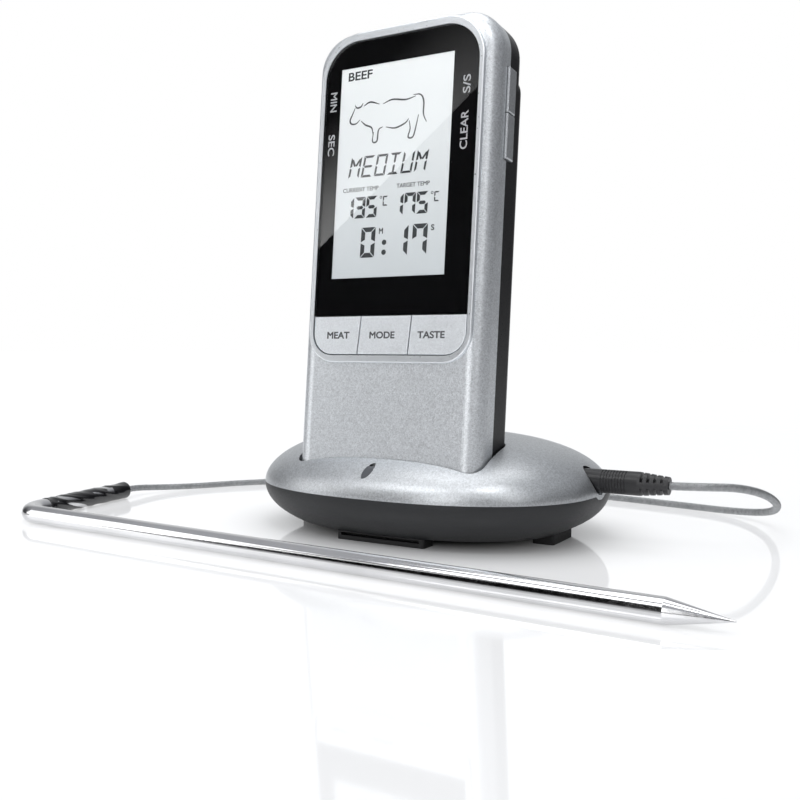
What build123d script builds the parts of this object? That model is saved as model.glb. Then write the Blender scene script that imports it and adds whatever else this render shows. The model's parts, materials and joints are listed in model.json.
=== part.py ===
"""Wireless meat thermometer: a handset standing in its radio base, and a steel probe on a braided lead.

Frame: millimetres, +Z up, X along the base's long axis, the display faces -Y.  The origin lies on the
surface that the base stands on, under the centre of the base.
"""

import os
from math import copysign, cos, pi, radians, sin, tan

from build123d import *

os.makedirs("parts", exist_ok=True)

# ---- base: an oval dome on an oval hull ----
SEAM_Z = 14.0  # parting line between the dome and the hull
BASE_HALF_X = 54.8
BASE_HALF_Y = 40.7
OUTLINE_POWER = 2.37  # 2 is an ellipse, more is squarer
DOME_RISE = 17.2
DOME_POWER_X = 2.75  # fuller along the base
DOME_POWER_Y = 1.8  # flatter across it
DOME_POWER_Z = 1.95
HULL_DROP = 17.5
HULL_POWER = 2.2
UNDERSIDE_Z = 2.6
BASE_WALL = 1.8
OUTLINE_POINTS = 24

# ---- handset: leans back in the dock ----
TILT = 5.63  # degrees back from upright
FRONT_Y = -26.47  # front plane at the display's lower edge
FRONT_Z = 76.4
BODY_HALF_X = 30.5
BODY_TOP = 75.6  # heights run up the handset from the display's lower edge
BODY_BOTTOM = -63.0
BODY_TOP_RADIUS = 11.5
BODY_BOTTOM_RADIUS = 7.0
PANEL_DEPTH = 0.9  # depths run backwards from the bezel's face
SHELL_SEAM_DEPTH = 10.1
REAR_DEPTH = 20.8
REAR_TOP_DEPTH = 19.0  # the rear is slimmer above the step
REAR_STEP_HEIGHT = 61.0
SHELL_WALL = 1.8
BEZEL_HALF_X = 27.2
BEZEL_TOP = 73.7
BEZEL_BOTTOM = -24.6
WINDOW_HALF_X = 25.65
WINDOW_TOP = 71.15
WINDOW_BOTTOM = -10.9
WINDOW_RADIUS = 11.0

# ---- keys ----
KEY_BOTTOM = -22.5
KEY_GAP = 0.3
KEY_CORNER = 6.5
KEY_TRAVEL = 0.8
SIDE_KEY_LOW = 33.7
SIDE_KEY_LENGTH = 12.8
SIDE_KEY_FRONT = 8.3
SIDE_KEY_BACK = 12.9
SIDE_KEY_PROUD = 0.9

# ---- dock ----
DOCK_GAP = 0.5
DOCK_WALL = 1.6

# ---- battery cells (size AAA) ----
CELL_RADIUS = 5.2
CELL_LENGTH = 44.5

# ---- probe lead ----
PLUG_Z = 18.2
PLUG_RADIUS = 3.4
PIN_RADIUS = 1.25
JACK_FACE_X = 48.5
JACK_BACK_X = 36.0
PLUG_END_X = 74.3
SCOOP_RADIUS = 4.05
CORD_RADIUS = 1.1
PROBE_RADIUS = 2.9
PROBE_BORE = 2.4
SLEEVE_RADIUS = 3.1
PROBE_TIP = Vector(106.0, -70.2, PROBE_RADIUS)
PROBE_BEND = Vector(-117.0, -61.7, SLEEVE_RADIUS)
PROBE_HANDLE = Vector(-124.6, -11.1, SLEEVE_RADIUS)
BEND_RADIUS = 9.0
CONE_LENGTH = 14.0

CORD_ROUTE = [
    (PLUG_END_X, 0.0, PLUG_Z),
    (83.0, 0.1, 18.5),
    (91.0, 8.0, 18.0),
    (96.0, 22.0, 14.6),
    (97.0, 38.5, 9.0),
    (92.0, 54.5, 4.0),
    (79.0, 66.0, 1.5),
    (60.0, 71.5, 1.2),
    (32.0, 76.5, 1.2),
    (-6.0, 80.5, 1.2),
    (-50.0, 75.0, 1.2),
    (-84.0, 58.0, 1.2),
    (-106.0, 38.0, 1.2),
    (-118.0, 18.0, 1.2),
    (-124.0, 5.0, 2.0),
    (-125.6, -4.4, 3.0),
    (-124.6, -11.1, SLEEVE_RADIUS),
]


def save(builder, name):
    """Label a finished piece and write it as its own STEP file."""
    builder.part.label = name
    export_step(builder.part, f"parts/{name}.step")


def box_from(low, high, mode=Mode.ADD):
    """Box between two corners of the row's frame, for use inside a part."""
    size = [high[i] - low[i] for i in range(3)]
    middle = [(high[i] + low[i]) / 2 for i in range(3)]
    with Locations(Vector(*middle)):
        Box(*size, mode=mode)


# ---- placing things on the leaning handset ----

UP = Vector(0, sin(radians(TILT)), cos(radians(TILT)))
BACK = Vector(0, cos(radians(TILT)), -sin(radians(TILT)))
HANDSET_ORIGIN = Vector(0, FRONT_Y, FRONT_Z)


def handset_point(x, height, depth):
    return HANDSET_ORIGIN + Vector(x, 0, 0) + UP * height + BACK * depth


def face_plane(depth):
    """Plane parallel to the display, x to the right and y up the handset, facing forwards."""
    return Plane(handset_point(0, 0, depth), x_dir=(1, 0, 0), z_dir=-BACK)


def level_plane(height):
    """Plane square to the handset's length, x to the right and y backwards, facing up it."""
    return Plane(handset_point(0, height, 0), x_dir=(1, 0, 0), z_dir=UP)


def side_plane(x):
    """Plane across the handset at x, local x backwards and local y up the handset, facing +X."""
    return Plane(handset_point(x, 0, 0), x_dir=BACK, z_dir=(1, 0, 0))


def tall_shape(half_x, bottom, top, bottom_radius, top_radius, plane):
    """Rectangle of the handset's kind: large round top corners, smaller round bottom ones."""
    with BuildSketch(plane) as shape:
        with BuildLine():
            Polyline((-half_x, bottom), (half_x, bottom), (half_x, top), (-half_x, top), close=True)
        make_face()
        fillet(shape.vertices().group_by(Axis.Y)[0], bottom_radius)
        fillet(shape.vertices().group_by(Axis.Y)[-1], top_radius)
    return shape.sketch


# ---- the base's oval sections ----


def oval(z, half_x, half_y):
    """Superelliptic section of the base at height z."""
    points = []
    for step in range(OUTLINE_POINTS):
        c = cos(2 * pi * step / OUTLINE_POINTS)
        s = sin(2 * pi * step / OUTLINE_POINTS)
        x = half_x * copysign(abs(c) ** (2 / OUTLINE_POWER), c)
        y = half_y * copysign(abs(s) ** (2 / OUTLINE_POWER), s)
        points.append((x, y))
    with BuildSketch(Plane.XY.offset(z)) as section:
        with BuildLine():
            Spline(*points, periodic=True)
        make_face()
    return section.sketch


def dome_sections(inset):
    """Sections from the seam up to the crown, all brought in by the wall when inset."""
    sections = []
    for angle in (0, 14, 28, 41, 53, 64, 74, 82, 87):
        shrink_x = cos(radians(angle)) ** (2 / DOME_POWER_X)
        shrink_y = cos(radians(angle)) ** (2 / DOME_POWER_Y)
        climb = sin(radians(angle)) ** (2 / DOME_POWER_Z)
        sections.append(
            oval(
                SEAM_Z + (DOME_RISE - inset) * climb,
                (BASE_HALF_X - inset) * shrink_x,
                (BASE_HALF_Y - inset) * shrink_y,
            )
        )
    return sections


def hull_sections(inset, floor_z):
    """Sections from the seam down to the flat underside."""
    sections = []
    drop = HULL_DROP - inset
    for step in range(6):
        z = SEAM_Z - (SEAM_Z - floor_z) * sin(radians(90 * step / 5))
        shrink = (1 - ((SEAM_Z - z) / drop) ** HULL_POWER) ** (1 / HULL_POWER)
        sections.append(oval(z, (BASE_HALF_X - inset) * shrink, (BASE_HALF_Y - inset) * shrink))
    return sections


with BuildPart() as dome_solid:
    loft(dome_sections(0))

with BuildPart() as hull_solid:
    loft(hull_sections(0, UNDERSIDE_Z))

with BuildPart() as hull_cavity:
    loft(hull_sections(BASE_WALL, UNDERSIDE_Z + BASE_WALL))


# =====================================================================================
# base
# =====================================================================================

# The dock is a tilted cup that hangs from the dome round the handset's foot.
DOCK_FLOOR = BODY_BOTTOM - DOCK_GAP
DOCK_CUP_TOP = -58.0  # the cup's own block stops under the dome, above the seam


def dock_section(height, grow):
    """The handset's cross-section grown by a gap or a wall, square to the handset."""
    half_x = BODY_HALF_X + grow
    with BuildSketch(level_plane(height)) as section:
        with Locations((0, (PANEL_DEPTH + REAR_DEPTH) / 2)):
            RectangleRounded(2 * half_x, REAR_DEPTH - PANEL_DEPTH + 2 * grow, 4.0 + grow)
    return section.sketch


with BuildPart() as dock_block:
    extrude(dock_section(DOCK_FLOOR - DOCK_WALL, DOCK_GAP + DOCK_WALL), amount=40, dir=UP)

with BuildPart() as dock_pocket:
    extrude(dock_section(DOCK_FLOOR, DOCK_GAP), amount=60, dir=UP)

# what the hull leaves free for the cup, from its floor up into the dome
with BuildPart() as dock_room:
    loft(hull_sections(BASE_WALL + 0.4, UNDERSIDE_Z + BASE_WALL))
    inner_oval = oval(SEAM_Z, BASE_HALF_X - BASE_WALL - 0.4, BASE_HALF_Y - BASE_WALL - 0.4)
    extrude(inner_oval, amount=6, dir=(0, 0, 1))

with BuildPart() as dock_cup:
    cup_outline = dock_section(DOCK_FLOOR - DOCK_WALL, DOCK_GAP + DOCK_WALL)
    extrude(cup_outline, amount=DOCK_CUP_TOP - DOCK_FLOOR, dir=UP)
    add(dock_room.part, mode=Mode.INTERSECT)

# A round boss in the dome's right end holds the probe socket.
SOCKET_BOSS_RADIUS = 5.4
SOCKET_BOSS_X = 46.5

with BuildPart() as socket_boss:
    with BuildSketch(Plane.YZ.offset(SOCKET_BOSS_X)):
        with Locations((0, PLUG_Z)):
            Circle(SOCKET_BOSS_RADIUS)
    extrude(amount=12)

with BuildPart() as base_solid:
    add(dome_solid.part)
    add(hull_solid.part)

with BuildPart() as dome_cavity:
    loft(dome_sections(BASE_WALL))
    add(dock_block.part, mode=Mode.SUBTRACT)
    add(socket_boss.part, mode=Mode.SUBTRACT)

SCREW_SPOTS = [(-38, -16), (38, -16), (-34, 22), (34, 22)]
SCREW_RADIUS = 1.2
BOSS_RADIUS = 3.0
PILLAR_FOOT_Z = 13.0

LENS_LEAN = radians(23.0)
LENS_X = -1.2
LENS_PLANE = Plane(origin=(LENS_X, -45.0, 21.4), x_dir=(cos(LENS_LEAN), 0, -sin(LENS_LEAN)), z_dir=(0, -1, 0))
LENS_LENGTH = 4.4
LENS_WIDTH = 2.9
LENS_REACH = 12.5


def lens_outline(shrink):
    """Pointed oval of two arcs, leaning to the right."""
    tip = LENS_LENGTH / 2 - 1.5 * shrink
    belly = LENS_WIDTH / 2 - shrink
    with BuildSketch(LENS_PLANE) as shape:
        with BuildLine():
            ThreePointArc((0, tip), (belly, 0), (0, -tip))
            ThreePointArc((0, -tip), (-belly, 0), (0, tip))
        make_face()
    return shape.sketch


with BuildPart() as lens_hole:
    extrude(lens_outline(0), amount=LENS_REACH, dir=(0, 1, 0))

with BuildPart() as base_top_shell:
    add(dome_solid.part)
    add(dome_cavity.part, mode=Mode.SUBTRACT)
    add(dock_cup.part)
    add(socket_boss.part.intersect(base_solid.part))
    # pillars for the case screws hang from the dome
    for spot in SCREW_SPOTS:
        with BuildSketch(Plane.XY.offset(PILLAR_FOOT_Z)):
            with Locations(spot):
                Circle(BOSS_RADIUS)
        extrude(until=Until.NEXT)
    add(dock_pocket.part, mode=Mode.SUBTRACT)
    for spot in SCREW_SPOTS:
        with Locations((spot[0], spot[1], PILLAR_FOOT_Z + 3)):
            Cylinder(SCREW_RADIUS, 6.02, mode=Mode.SUBTRACT)
    with BuildSketch(Plane.YZ.offset(JACK_FACE_X)):
        with Locations((0, PLUG_Z)):
            Circle(SCOOP_RADIUS)
    extrude(amount=12, mode=Mode.SUBTRACT)
    with BuildSketch(Plane.YZ.offset(SOCKET_BOSS_X - 1)):
        with Locations((0, PLUG_Z)):
            Circle(2.6)
    extrude(amount=5, mode=Mode.SUBTRACT)
    add(lens_hole.part, mode=Mode.SUBTRACT)
save(base_top_shell, "base_top_shell")

# ---- hull ----
BAY_X = 26.5  # the battery bay: two cells side by side along X
BAY_FRONT_Y = -2.0
BAY_BACK_Y = 23.0
CELL_SPACING = 11.2
CELL_Z = UNDERSIDE_Z + CELL_RADIUS + 0.3
DOOR_HALF_X = 27.0
DOOR_FRONT_Y = -6.0
DOOR_BACK_Y = 26.0
RAIL_X = 27.3
SWITCH_SPOT = (0, 29.0)

with BuildPart() as base_bottom_shell:
    add(hull_solid.part)
    add(hull_cavity.part, mode=Mode.SUBTRACT)
    # screw posts stand up to the dome's pillars
    for spot in SCREW_SPOTS:
        with Locations((spot[0], spot[1], (UNDERSIDE_Z + 0.5 + PILLAR_FOOT_Z - 0.05) / 2)):
            Cylinder(BOSS_RADIUS + 0.6, PILLAR_FOOT_Z - 0.05 - UNDERSIDE_Z - 0.5)
    # walls of the battery bay
    box_from((-BAY_X - 1.2, BAY_FRONT_Y - 1.2, UNDERSIDE_Z + 1), (BAY_X + 1.2, BAY_BACK_Y + 1.2, 13.0))
    with Locations((0, (BAY_FRONT_Y + BAY_BACK_Y) / 2, 7)):
        Box(2 * BAY_X, BAY_BACK_Y - BAY_FRONT_Y, 20, mode=Mode.SUBTRACT)
    # rails under the floor guide the battery door
    for side in (-1, 1):
        with Locations((side * (RAIL_X + 1.0), (DOOR_FRONT_Y + DOOR_BACK_Y) / 2, UNDERSIDE_Z / 2 + 0.6)):
            Box(2.0, DOOR_BACK_Y - DOOR_FRONT_Y, UNDERSIDE_Z - 1.0)
    # slot for the power switch
    with Locations((SWITCH_SPOT[0], SWITCH_SPOT[1], UNDERSIDE_Z)):
        Box(11.0, 3.4, 6, mode=Mode.SUBTRACT)
    # countersunk screw holes
    for spot in SCREW_SPOTS:
        with Locations((spot[0], spot[1], UNDERSIDE_Z)):
            Cylinder(2.6, 4.0, align=(Align.CENTER, Align.CENTER, Align.MIN), mode=Mode.SUBTRACT)
            Cylinder(1.4, 14.0, align=(Align.CENTER, Align.CENTER, Align.MIN), mode=Mode.SUBTRACT)
    # notch round the dome's socket boss
    with BuildSketch(Plane.YZ.offset(SOCKET_BOSS_X - 0.2)):
        with Locations((0, PLUG_Z)):
            Circle(SOCKET_BOSS_RADIUS + 0.1)
    extrude(amount=12, mode=Mode.SUBTRACT)
    add(dock_cup.part, mode=Mode.SUBTRACT)
save(base_bottom_shell, "base_bottom_shell")

# ---- feet ----
FOOT_HALF_X = 14.6
FOOT_FRONT_Y = -32.0
FOOT_BACK_Y = -26.0

with BuildPart() as front_foot:
    box_from((-FOOT_HALF_X, FOOT_FRONT_Y, 0), (FOOT_HALF_X, FOOT_BACK_Y, UNDERSIDE_Z))
    fillet(front_foot.edges().filter_by(Axis.Z), 0.8)
    # finger slot in its front face
    with Locations((0, FOOT_FRONT_Y, 1.75)):
        Box(2 * FOOT_HALF_X - 3.0, 4.4, 0.9, mode=Mode.SUBTRACT)
save(front_foot, "front_foot")

with BuildPart() as side_feet:
    for side in (-1, 1):
        with Locations((side * 40.8, -1.5, 2.0)):
            Box(6.6, 15.0, 4.0)
    fillet(side_feet.edges().filter_by(Axis.Z), 0.8)
    add(hull_solid.part, mode=Mode.SUBTRACT)
save(side_feet, "side_feet")

# ---- battery door and switch, each on its own slide ----
with BuildPart() as base_battery_door:
    box_from((-DOOR_HALF_X, DOOR_FRONT_Y, 0), (DOOR_HALF_X, DOOR_BACK_Y, UNDERSIDE_Z - 0.1))
    fillet(base_battery_door.edges().filter_by(Axis.Z), 2.0)
    # ribbed thumb patch
    for row in range(4):
        with Locations((0, DOOR_BACK_Y - 3.0 - 1.8 * row, 0)):
            Box(12.0, 0.9, 0.8, mode=Mode.SUBTRACT)
save(base_battery_door, "base_battery_door")

with BuildPart() as base_power_switch:
    box_from(
        (SWITCH_SPOT[0] - 5.0, SWITCH_SPOT[1] - 1.4, UNDERSIDE_Z - 0.8),
        (SWITCH_SPOT[0] + 1.0, SWITCH_SPOT[1] + 1.4, UNDERSIDE_Z + BASE_WALL + 0.4),
    )
    for groove in range(3):
        with Locations((SWITCH_SPOT[0] - 3.4 + 1.4 * groove, SWITCH_SPOT[1], UNDERSIDE_Z - 0.8)):
            Box(0.5, 2.8, 0.8, mode=Mode.SUBTRACT)
save(base_power_switch, "base_power_switch")

with BuildPart() as base_switch_body:
    box_from(
        (SWITCH_SPOT[0] - 7.0, SWITCH_SPOT[1] - 2.2, UNDERSIDE_Z + BASE_WALL + 0.6),
        (SWITCH_SPOT[0] + 7.0, SWITCH_SPOT[1] + 2.2, UNDERSIDE_Z + BASE_WALL + 4.2),
    )
save(base_switch_body, "base_switch_body")

# ---- battery cells and their leaf contacts ----
BASE_CELL_Y = [
    (BAY_FRONT_Y + BAY_BACK_Y - CELL_SPACING) / 2,
    (BAY_FRONT_Y + BAY_BACK_Y + CELL_SPACING) / 2,
]


def cell(plane, length=CELL_LENGTH, radius=CELL_RADIUS):
    """AAA cell standing on a plane: can, then the positive nub."""
    with BuildPart() as body:
        with BuildSketch(plane):
            Circle(radius)
        extrude(amount=length - 1.0)
        fillet(body.edges().sort_by_distance(plane.origin)[-1:], 0.5)
        with BuildSketch(plane.offset(length - 1.2)):
            Circle(1.9)
        extrude(amount=1.2)
    return body.part


with BuildPart() as base_batteries:
    for row, direction in zip(BASE_CELL_Y, (1, -1)):
        start = Plane(origin=(-direction * CELL_LENGTH / 2, row, CELL_Z), z_dir=(direction, 0, 0))
        add(cell(start))
save(base_batteries, "base_batteries")

with BuildPart() as base_battery_contacts:
    for side in (-1, 1):
        box_from(
            (side * (BAY_X - 0.4) - 0.25, BAY_FRONT_Y + 1.5, 4.6),
            (side * (BAY_X - 0.4) + 0.25, BAY_BACK_Y - 1.5, 12.4),
        )
        for row in BASE_CELL_Y:
            with Locations(Location((side * (CELL_LENGTH / 2 + 1.95), row, CELL_Z), (0, side * 90, 0))):
                Cone(2.6, 1.4, 3.7)
save(base_battery_contacts, "base_battery_contacts")

# ---- screws ----
with BuildPart() as base_screws:
    for spot in SCREW_SPOTS:
        with Locations((spot[0], spot[1], UNDERSIDE_Z + 2.2)):
            Cylinder(2.3, 1.8, align=(Align.CENTER, Align.CENTER, Align.MIN))
            Cylinder(SCREW_RADIUS, 14.0, align=(Align.CENTER, Align.CENTER, Align.MIN))
            Box(3.0, 0.6, 1.4, mode=Mode.SUBTRACT)
            Box(0.6, 3.0, 1.4, mode=Mode.SUBTRACT)
save(base_screws, "base_screws")

# ---- electronics ----
BOARD_Z = 16.6
BOARD_THICK = 1.2

with BuildPart() as transmitter_board:
    box_from((-29.5, -6.0, BOARD_Z), (29.5, 27.0, BOARD_Z + BOARD_THICK))
    box_from((29.0, -5.0, BOARD_Z), (JACK_BACK_X, 5.0, BOARD_Z + BOARD_THICK))
    for x in (-26.0, 26.0):
        with Locations((x, 24.0, BOARD_Z)):
            Cylinder(1.2, 4, mode=Mode.SUBTRACT)
save(transmitter_board, "transmitter_board")

with BuildPart() as radio_module:
    box_from((-24.0, 8.0, BOARD_Z + BOARD_THICK), (-6.0, 22.0, BOARD_Z + BOARD_THICK + 0.8))
    box_from((-22.5, 9.5, BOARD_Z + BOARD_THICK + 0.8), (-11.0, 20.5, BOARD_Z + BOARD_THICK + 3.0))
save(radio_module, "radio_module")

with BuildPart() as transmitter_chip:
    box_from((8.0, 8.0, BOARD_Z + BOARD_THICK), (17.0, 17.0, BOARD_Z + BOARD_THICK + 1.4))
    for row in range(6):
        leg_y = 8.8 + 1.4 * row
        box_from((7.0, leg_y, BOARD_Z + BOARD_THICK), (18.0, leg_y + 0.5, BOARD_Z + BOARD_THICK + 0.3))
save(transmitter_chip, "transmitter_chip")

with BuildPart() as transmitter_antenna:
    with BuildLine() as wire:
        FilletPolyline(
            (-6.0, 21.0, BOARD_Z + 2.4), (-2.0, 21.0, BOARD_Z + 2.4), (-2.0, 25.0, BOARD_Z + 2.4),
            (26.0, 25.0, BOARD_Z + 2.4), (26.0, 9.0, BOARD_Z + 2.4), radius=1.2,
        )
    with BuildSketch(Plane(wire.line @ 0, z_dir=wire.line % 0)):
        Circle(0.4)
    sweep()
save(transmitter_antenna, "transmitter_antenna")

with BuildPart() as status_led:
    box_from((LENS_X - 0.8, -34.4, 20.7), (LENS_X + 0.8, -33.4, 22.1))
save(status_led, "status_led")

with BuildPart() as status_lens:
    extrude(lens_outline(0.04), amount=LENS_REACH, dir=(0, 1, 0))
    add(dome_solid.part, mode=Mode.INTERSECT)
    box_from((-7, -34.5, 15), (5, -30, 27), mode=Mode.SUBTRACT)
save(status_lens, "status_lens")

with BuildPart() as probe_jack:
    box_from((JACK_BACK_X, -3.3, PLUG_Z - 3.3), (JACK_FACE_X - 2.2, 3.3, PLUG_Z + 3.3))
    with BuildSketch(Plane.YZ.offset(JACK_FACE_X - 2.3)):
        with Locations((0, PLUG_Z)):
            Circle(2.5)
    extrude(amount=2.3)
    with BuildSketch(Plane.YZ.offset(JACK_FACE_X - 11.3)):
        with Locations((0, PLUG_Z)):
            Circle(PIN_RADIUS + 0.06)
    extrude(amount=12, mode=Mode.SUBTRACT)
save(probe_jack, "probe_jack")

# =====================================================================================
# handset
# =====================================================================================

FORWARD = Axis(HANDSET_ORIGIN, -BACK)
HOLLOW_FRONT = 3.2  # depth where the shell's front wall ends
WINDOW_SINK = 0.15
LCD_X = -1.2  # the picture area sits a little left of centre
LCD_FRONT = 1.3
BOARD_DEPTH = 6.6
SHELL_SCREWS = [(-13.0, 71.4), (13.0, 71.4), (-22.0, -45.0), (22.0, -45.0)]
SCREW_HEAD_DEPTH = 16.0
SCREW_HEAD_BACK = SCREW_HEAD_DEPTH + 1.4
CELL_DEPTH = 13.2
CELL_BOTTOM = -28.0
HATCH_HALF_X = 12.5
HATCH_BOTTOM = -31.0
HATCH_TOP = 22.0
HATCH_DEPTH = REAR_DEPTH - 1.5
SIDE_KEY_PITCH = SIDE_KEY_LENGTH + 0.3


def block(x0, x1, height0, height1, depth0, depth1, mode=Mode.ADD):
    """Box between limits across, up and into the handset."""
    with BuildSketch(face_plane(depth1)) as shape:
        with Locations(((x0 + x1) / 2, (height0 + height1) / 2)):
            Rectangle(x1 - x0, height1 - height0)
    extrude(shape.sketch, amount=depth1 - depth0, dir=-BACK, mode=mode)


def post(x, height, radius, depth0, depth1, mode=Mode.ADD):
    """Round post or hole between two depths of the handset."""
    with BuildSketch(face_plane(depth1)) as shape:
        with Locations((x, height)):
            Circle(radius)
    extrude(shape.sketch, amount=depth1 - depth0, dir=-BACK, mode=mode)


def slab(half_x, bottom, top, bottom_radius, top_radius, depth0, depth1):
    """Plate of the handset's outline between two depths."""
    with BuildPart() as plate:
        outline = tall_shape(half_x, bottom, top, bottom_radius, top_radius, face_plane(depth1))
        extrude(outline, amount=depth1 - depth0, dir=-BACK)
    return plate.part


with BuildPart() as front_shell:
    add(
        slab(
            BODY_HALF_X, BODY_BOTTOM, BODY_TOP, BODY_BOTTOM_RADIUS, BODY_TOP_RADIUS,
            PANEL_DEPTH, SHELL_SEAM_DEPTH,
        )
    )
    fillet(front_shell.faces().sort_by(FORWARD)[-1].edges(), 5.2)
    add(slab(BEZEL_HALF_X, BEZEL_BOTTOM, BEZEL_TOP, 9.0, 13.0, 0, PANEL_DEPTH + 3))
    fillet(front_shell.faces().sort_by(FORWARD)[-1].edges(), 0.4)
    add(
        slab(
            BODY_HALF_X - SHELL_WALL, BODY_BOTTOM + SHELL_WALL, BODY_TOP - SHELL_WALL,
            BODY_BOTTOM_RADIUS - SHELL_WALL, BODY_TOP_RADIUS - SHELL_WALL, HOLLOW_FRONT, SHELL_SEAM_DEPTH,
        ),
        mode=Mode.SUBTRACT,
    )
    add(
        slab(WINDOW_HALF_X + 0.1, KEY_BOTTOM, WINDOW_TOP + 0.1, KEY_CORNER + 0.3, WINDOW_RADIUS + 0.1, -1, 6),
        mode=Mode.SUBTRACT,
    )
    for x, height in SHELL_SCREWS:
        post(x, height, 2.6, HOLLOW_FRONT - 0.2, SHELL_SEAM_DEPTH)
        post(x, height, 1.0, HOLLOW_FRONT + 1.0, SHELL_SEAM_DEPTH, mode=Mode.SUBTRACT)
    for side in (-1, 1):
        edge = side * BODY_HALF_X
        block(
            edge - 3, edge + 3, SIDE_KEY_LOW - 0.3, SIDE_KEY_LOW + 2 * SIDE_KEY_LENGTH + 0.6,
            SIDE_KEY_FRONT - 0.3, SHELL_SEAM_DEPTH + 0.1, mode=Mode.SUBTRACT,
        )
save(front_shell, "handset_front_shell")

with BuildPart() as rear_upper:
    add(
        slab(
            BODY_HALF_X, BODY_BOTTOM, BODY_TOP, BODY_BOTTOM_RADIUS, BODY_TOP_RADIUS,
            SHELL_SEAM_DEPTH, REAR_TOP_DEPTH,
        )
    )
    fillet(rear_upper.faces().sort_by(FORWARD)[0].edges(), 3.5)

with BuildPart() as rear_lower:
    add(
        slab(
            BODY_HALF_X, BODY_BOTTOM, REAR_STEP_HEIGHT, BODY_BOTTOM_RADIUS, 6.0,
            SHELL_SEAM_DEPTH, REAR_DEPTH,
        )
    )
    fillet(rear_lower.faces().sort_by(FORWARD)[0].edges(), 3.5)

with BuildPart() as rear_cover:
    add(rear_upper.part)
    add(rear_lower.part)
    add(
        slab(
            BODY_HALF_X - SHELL_WALL, BODY_BOTTOM + SHELL_WALL, BODY_TOP - SHELL_WALL,
            BODY_BOTTOM_RADIUS - SHELL_WALL, BODY_TOP_RADIUS - SHELL_WALL,
            SHELL_SEAM_DEPTH, REAR_TOP_DEPTH - SHELL_WALL,
        ),
        mode=Mode.SUBTRACT,
    )
    # walls of the battery bay
    block(-HATCH_HALF_X - 1, HATCH_HALF_X + 1, HATCH_BOTTOM - 1, HATCH_TOP + 1, 9.0, HATCH_DEPTH)
    block(-HATCH_HALF_X, HATCH_HALF_X, HATCH_BOTTOM, HATCH_TOP, 8.0, REAR_DEPTH + 1, mode=Mode.SUBTRACT)
    for x, height in SHELL_SCREWS:
        post(x, height, 2.6, SHELL_SEAM_DEPTH + 0.05, REAR_TOP_DEPTH - 1)
        post(x, height, 2.2, SCREW_HEAD_DEPTH, REAR_DEPTH + 1, mode=Mode.SUBTRACT)
        post(x, height, 1.2, SHELL_SEAM_DEPTH, REAR_DEPTH, mode=Mode.SUBTRACT)
    for side in (-1, 1):
        edge = side * BODY_HALF_X
        block(
            edge - 3, edge + 3, SIDE_KEY_LOW - 0.3, SIDE_KEY_LOW + 2 * SIDE_KEY_LENGTH + 0.6,
            SHELL_SEAM_DEPTH - 0.1, SIDE_KEY_BACK + 0.3, mode=Mode.SUBTRACT,
        )
    # sound holes over the buzzer
    for row in range(5):
        block(-5, 5, 36.0 + 2.4 * row, 37.0 + 2.4 * row, HATCH_DEPTH - 3, REAR_DEPTH + 1, mode=Mode.SUBTRACT)
save(rear_cover, "handset_rear_cover")

with BuildPart() as display_window:
    add(
        slab(
            WINDOW_HALF_X, WINDOW_BOTTOM, WINDOW_TOP, 0.4, WINDOW_RADIUS,
            WINDOW_SINK, WINDOW_SINK + 1.0,
        )
    )
save(display_window, "display_window")

with BuildPart() as lcd_holder:
    add(slab(WINDOW_HALF_X, WINDOW_BOTTOM + 0.2, WINDOW_TOP, 0.4, WINDOW_RADIUS, 1.2, HOLLOW_FRONT - 0.3))
    # a narrow neck through the window opening carries the wider tray behind the shell's front wall
    block(-23.0, 21.0, -5.5, 62.0, HOLLOW_FRONT - 0.4, HOLLOW_FRONT + 0.1)
    block(-24.4, 22.2, -6.5, 68.2, HOLLOW_FRONT + 0.05, 6.0)
    block(LCD_X - 21.4, LCD_X + 21.4, -4.6, 67.0, 1.0, 7.0, mode=Mode.SUBTRACT)
save(lcd_holder, "lcd_holder")

with BuildPart() as lcd_panel:
    block(LCD_X - 21.3, LCD_X + 21.3, -1.6, 66.9, LCD_FRONT, LCD_FRONT + 1.2)
    block(LCD_X - 21.3, LCD_X + 21.3, -4.5, 66.9, LCD_FRONT + 1.2, LCD_FRONT + 2.4)
save(lcd_panel, "lcd_panel")

with BuildPart() as backlight_panel:
    block(LCD_X - 20.5, LCD_X + 20.5, -1.0, 66.0, LCD_FRONT + 2.5, 5.6)
save(backlight_panel, "backlight_panel")

with BuildPart() as lcd_connector_strip:
    block(LCD_X - 20.5, LCD_X + 20.5, -4.3, -2.3, LCD_FRONT + 2.4, BOARD_DEPTH)
save(lcd_connector_strip, "lcd_connector_strip")

with BuildPart() as main_board:
    block(-20.5, 20.5, -26.0, 60.0, BOARD_DEPTH, BOARD_DEPTH + 1.2)
    for x in (-17, 17):
        post(x, -23.0, 1.1, BOARD_DEPTH - 1, BOARD_DEPTH + 3, mode=Mode.SUBTRACT)
save(main_board, "main_board")

# ---- keys ----
KEY_FACE = 0.25
KEY_BACK = 2.9
SWITCH_TOP = 5.0
STEM_END = SWITCH_TOP - KEY_TRAVEL - 0.1
KEY_MIDDLE = -16.7
KEY_LEAN = 0.08  # the gaps between the keys lean to the right
KEYS = {
    "meat_button": (-WINDOW_HALF_X - 2, -9.45),
    "mode_button": (-9.45, 7.55),
    "taste_button": (7.55, WINDOW_HALF_X + 2),
}
KEY_STEMS = [-17.5, -0.95, 16.6]


def leaning_strip(left, right, low, high):
    """Strip between two leaning gaps, through the keys' whole depth."""
    corners = ((left, low, 1), (right, low, -1), (right, high, -1), (left, high, 1))
    points = [(x + KEY_LEAN * (y - KEY_MIDDLE) + side * KEY_GAP / 2, y) for x, y, side in corners]
    with BuildSketch(face_plane(4)) as shape:
        with BuildLine():
            Polyline(*points, close=True)
        make_face()
    return shape.sketch


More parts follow.
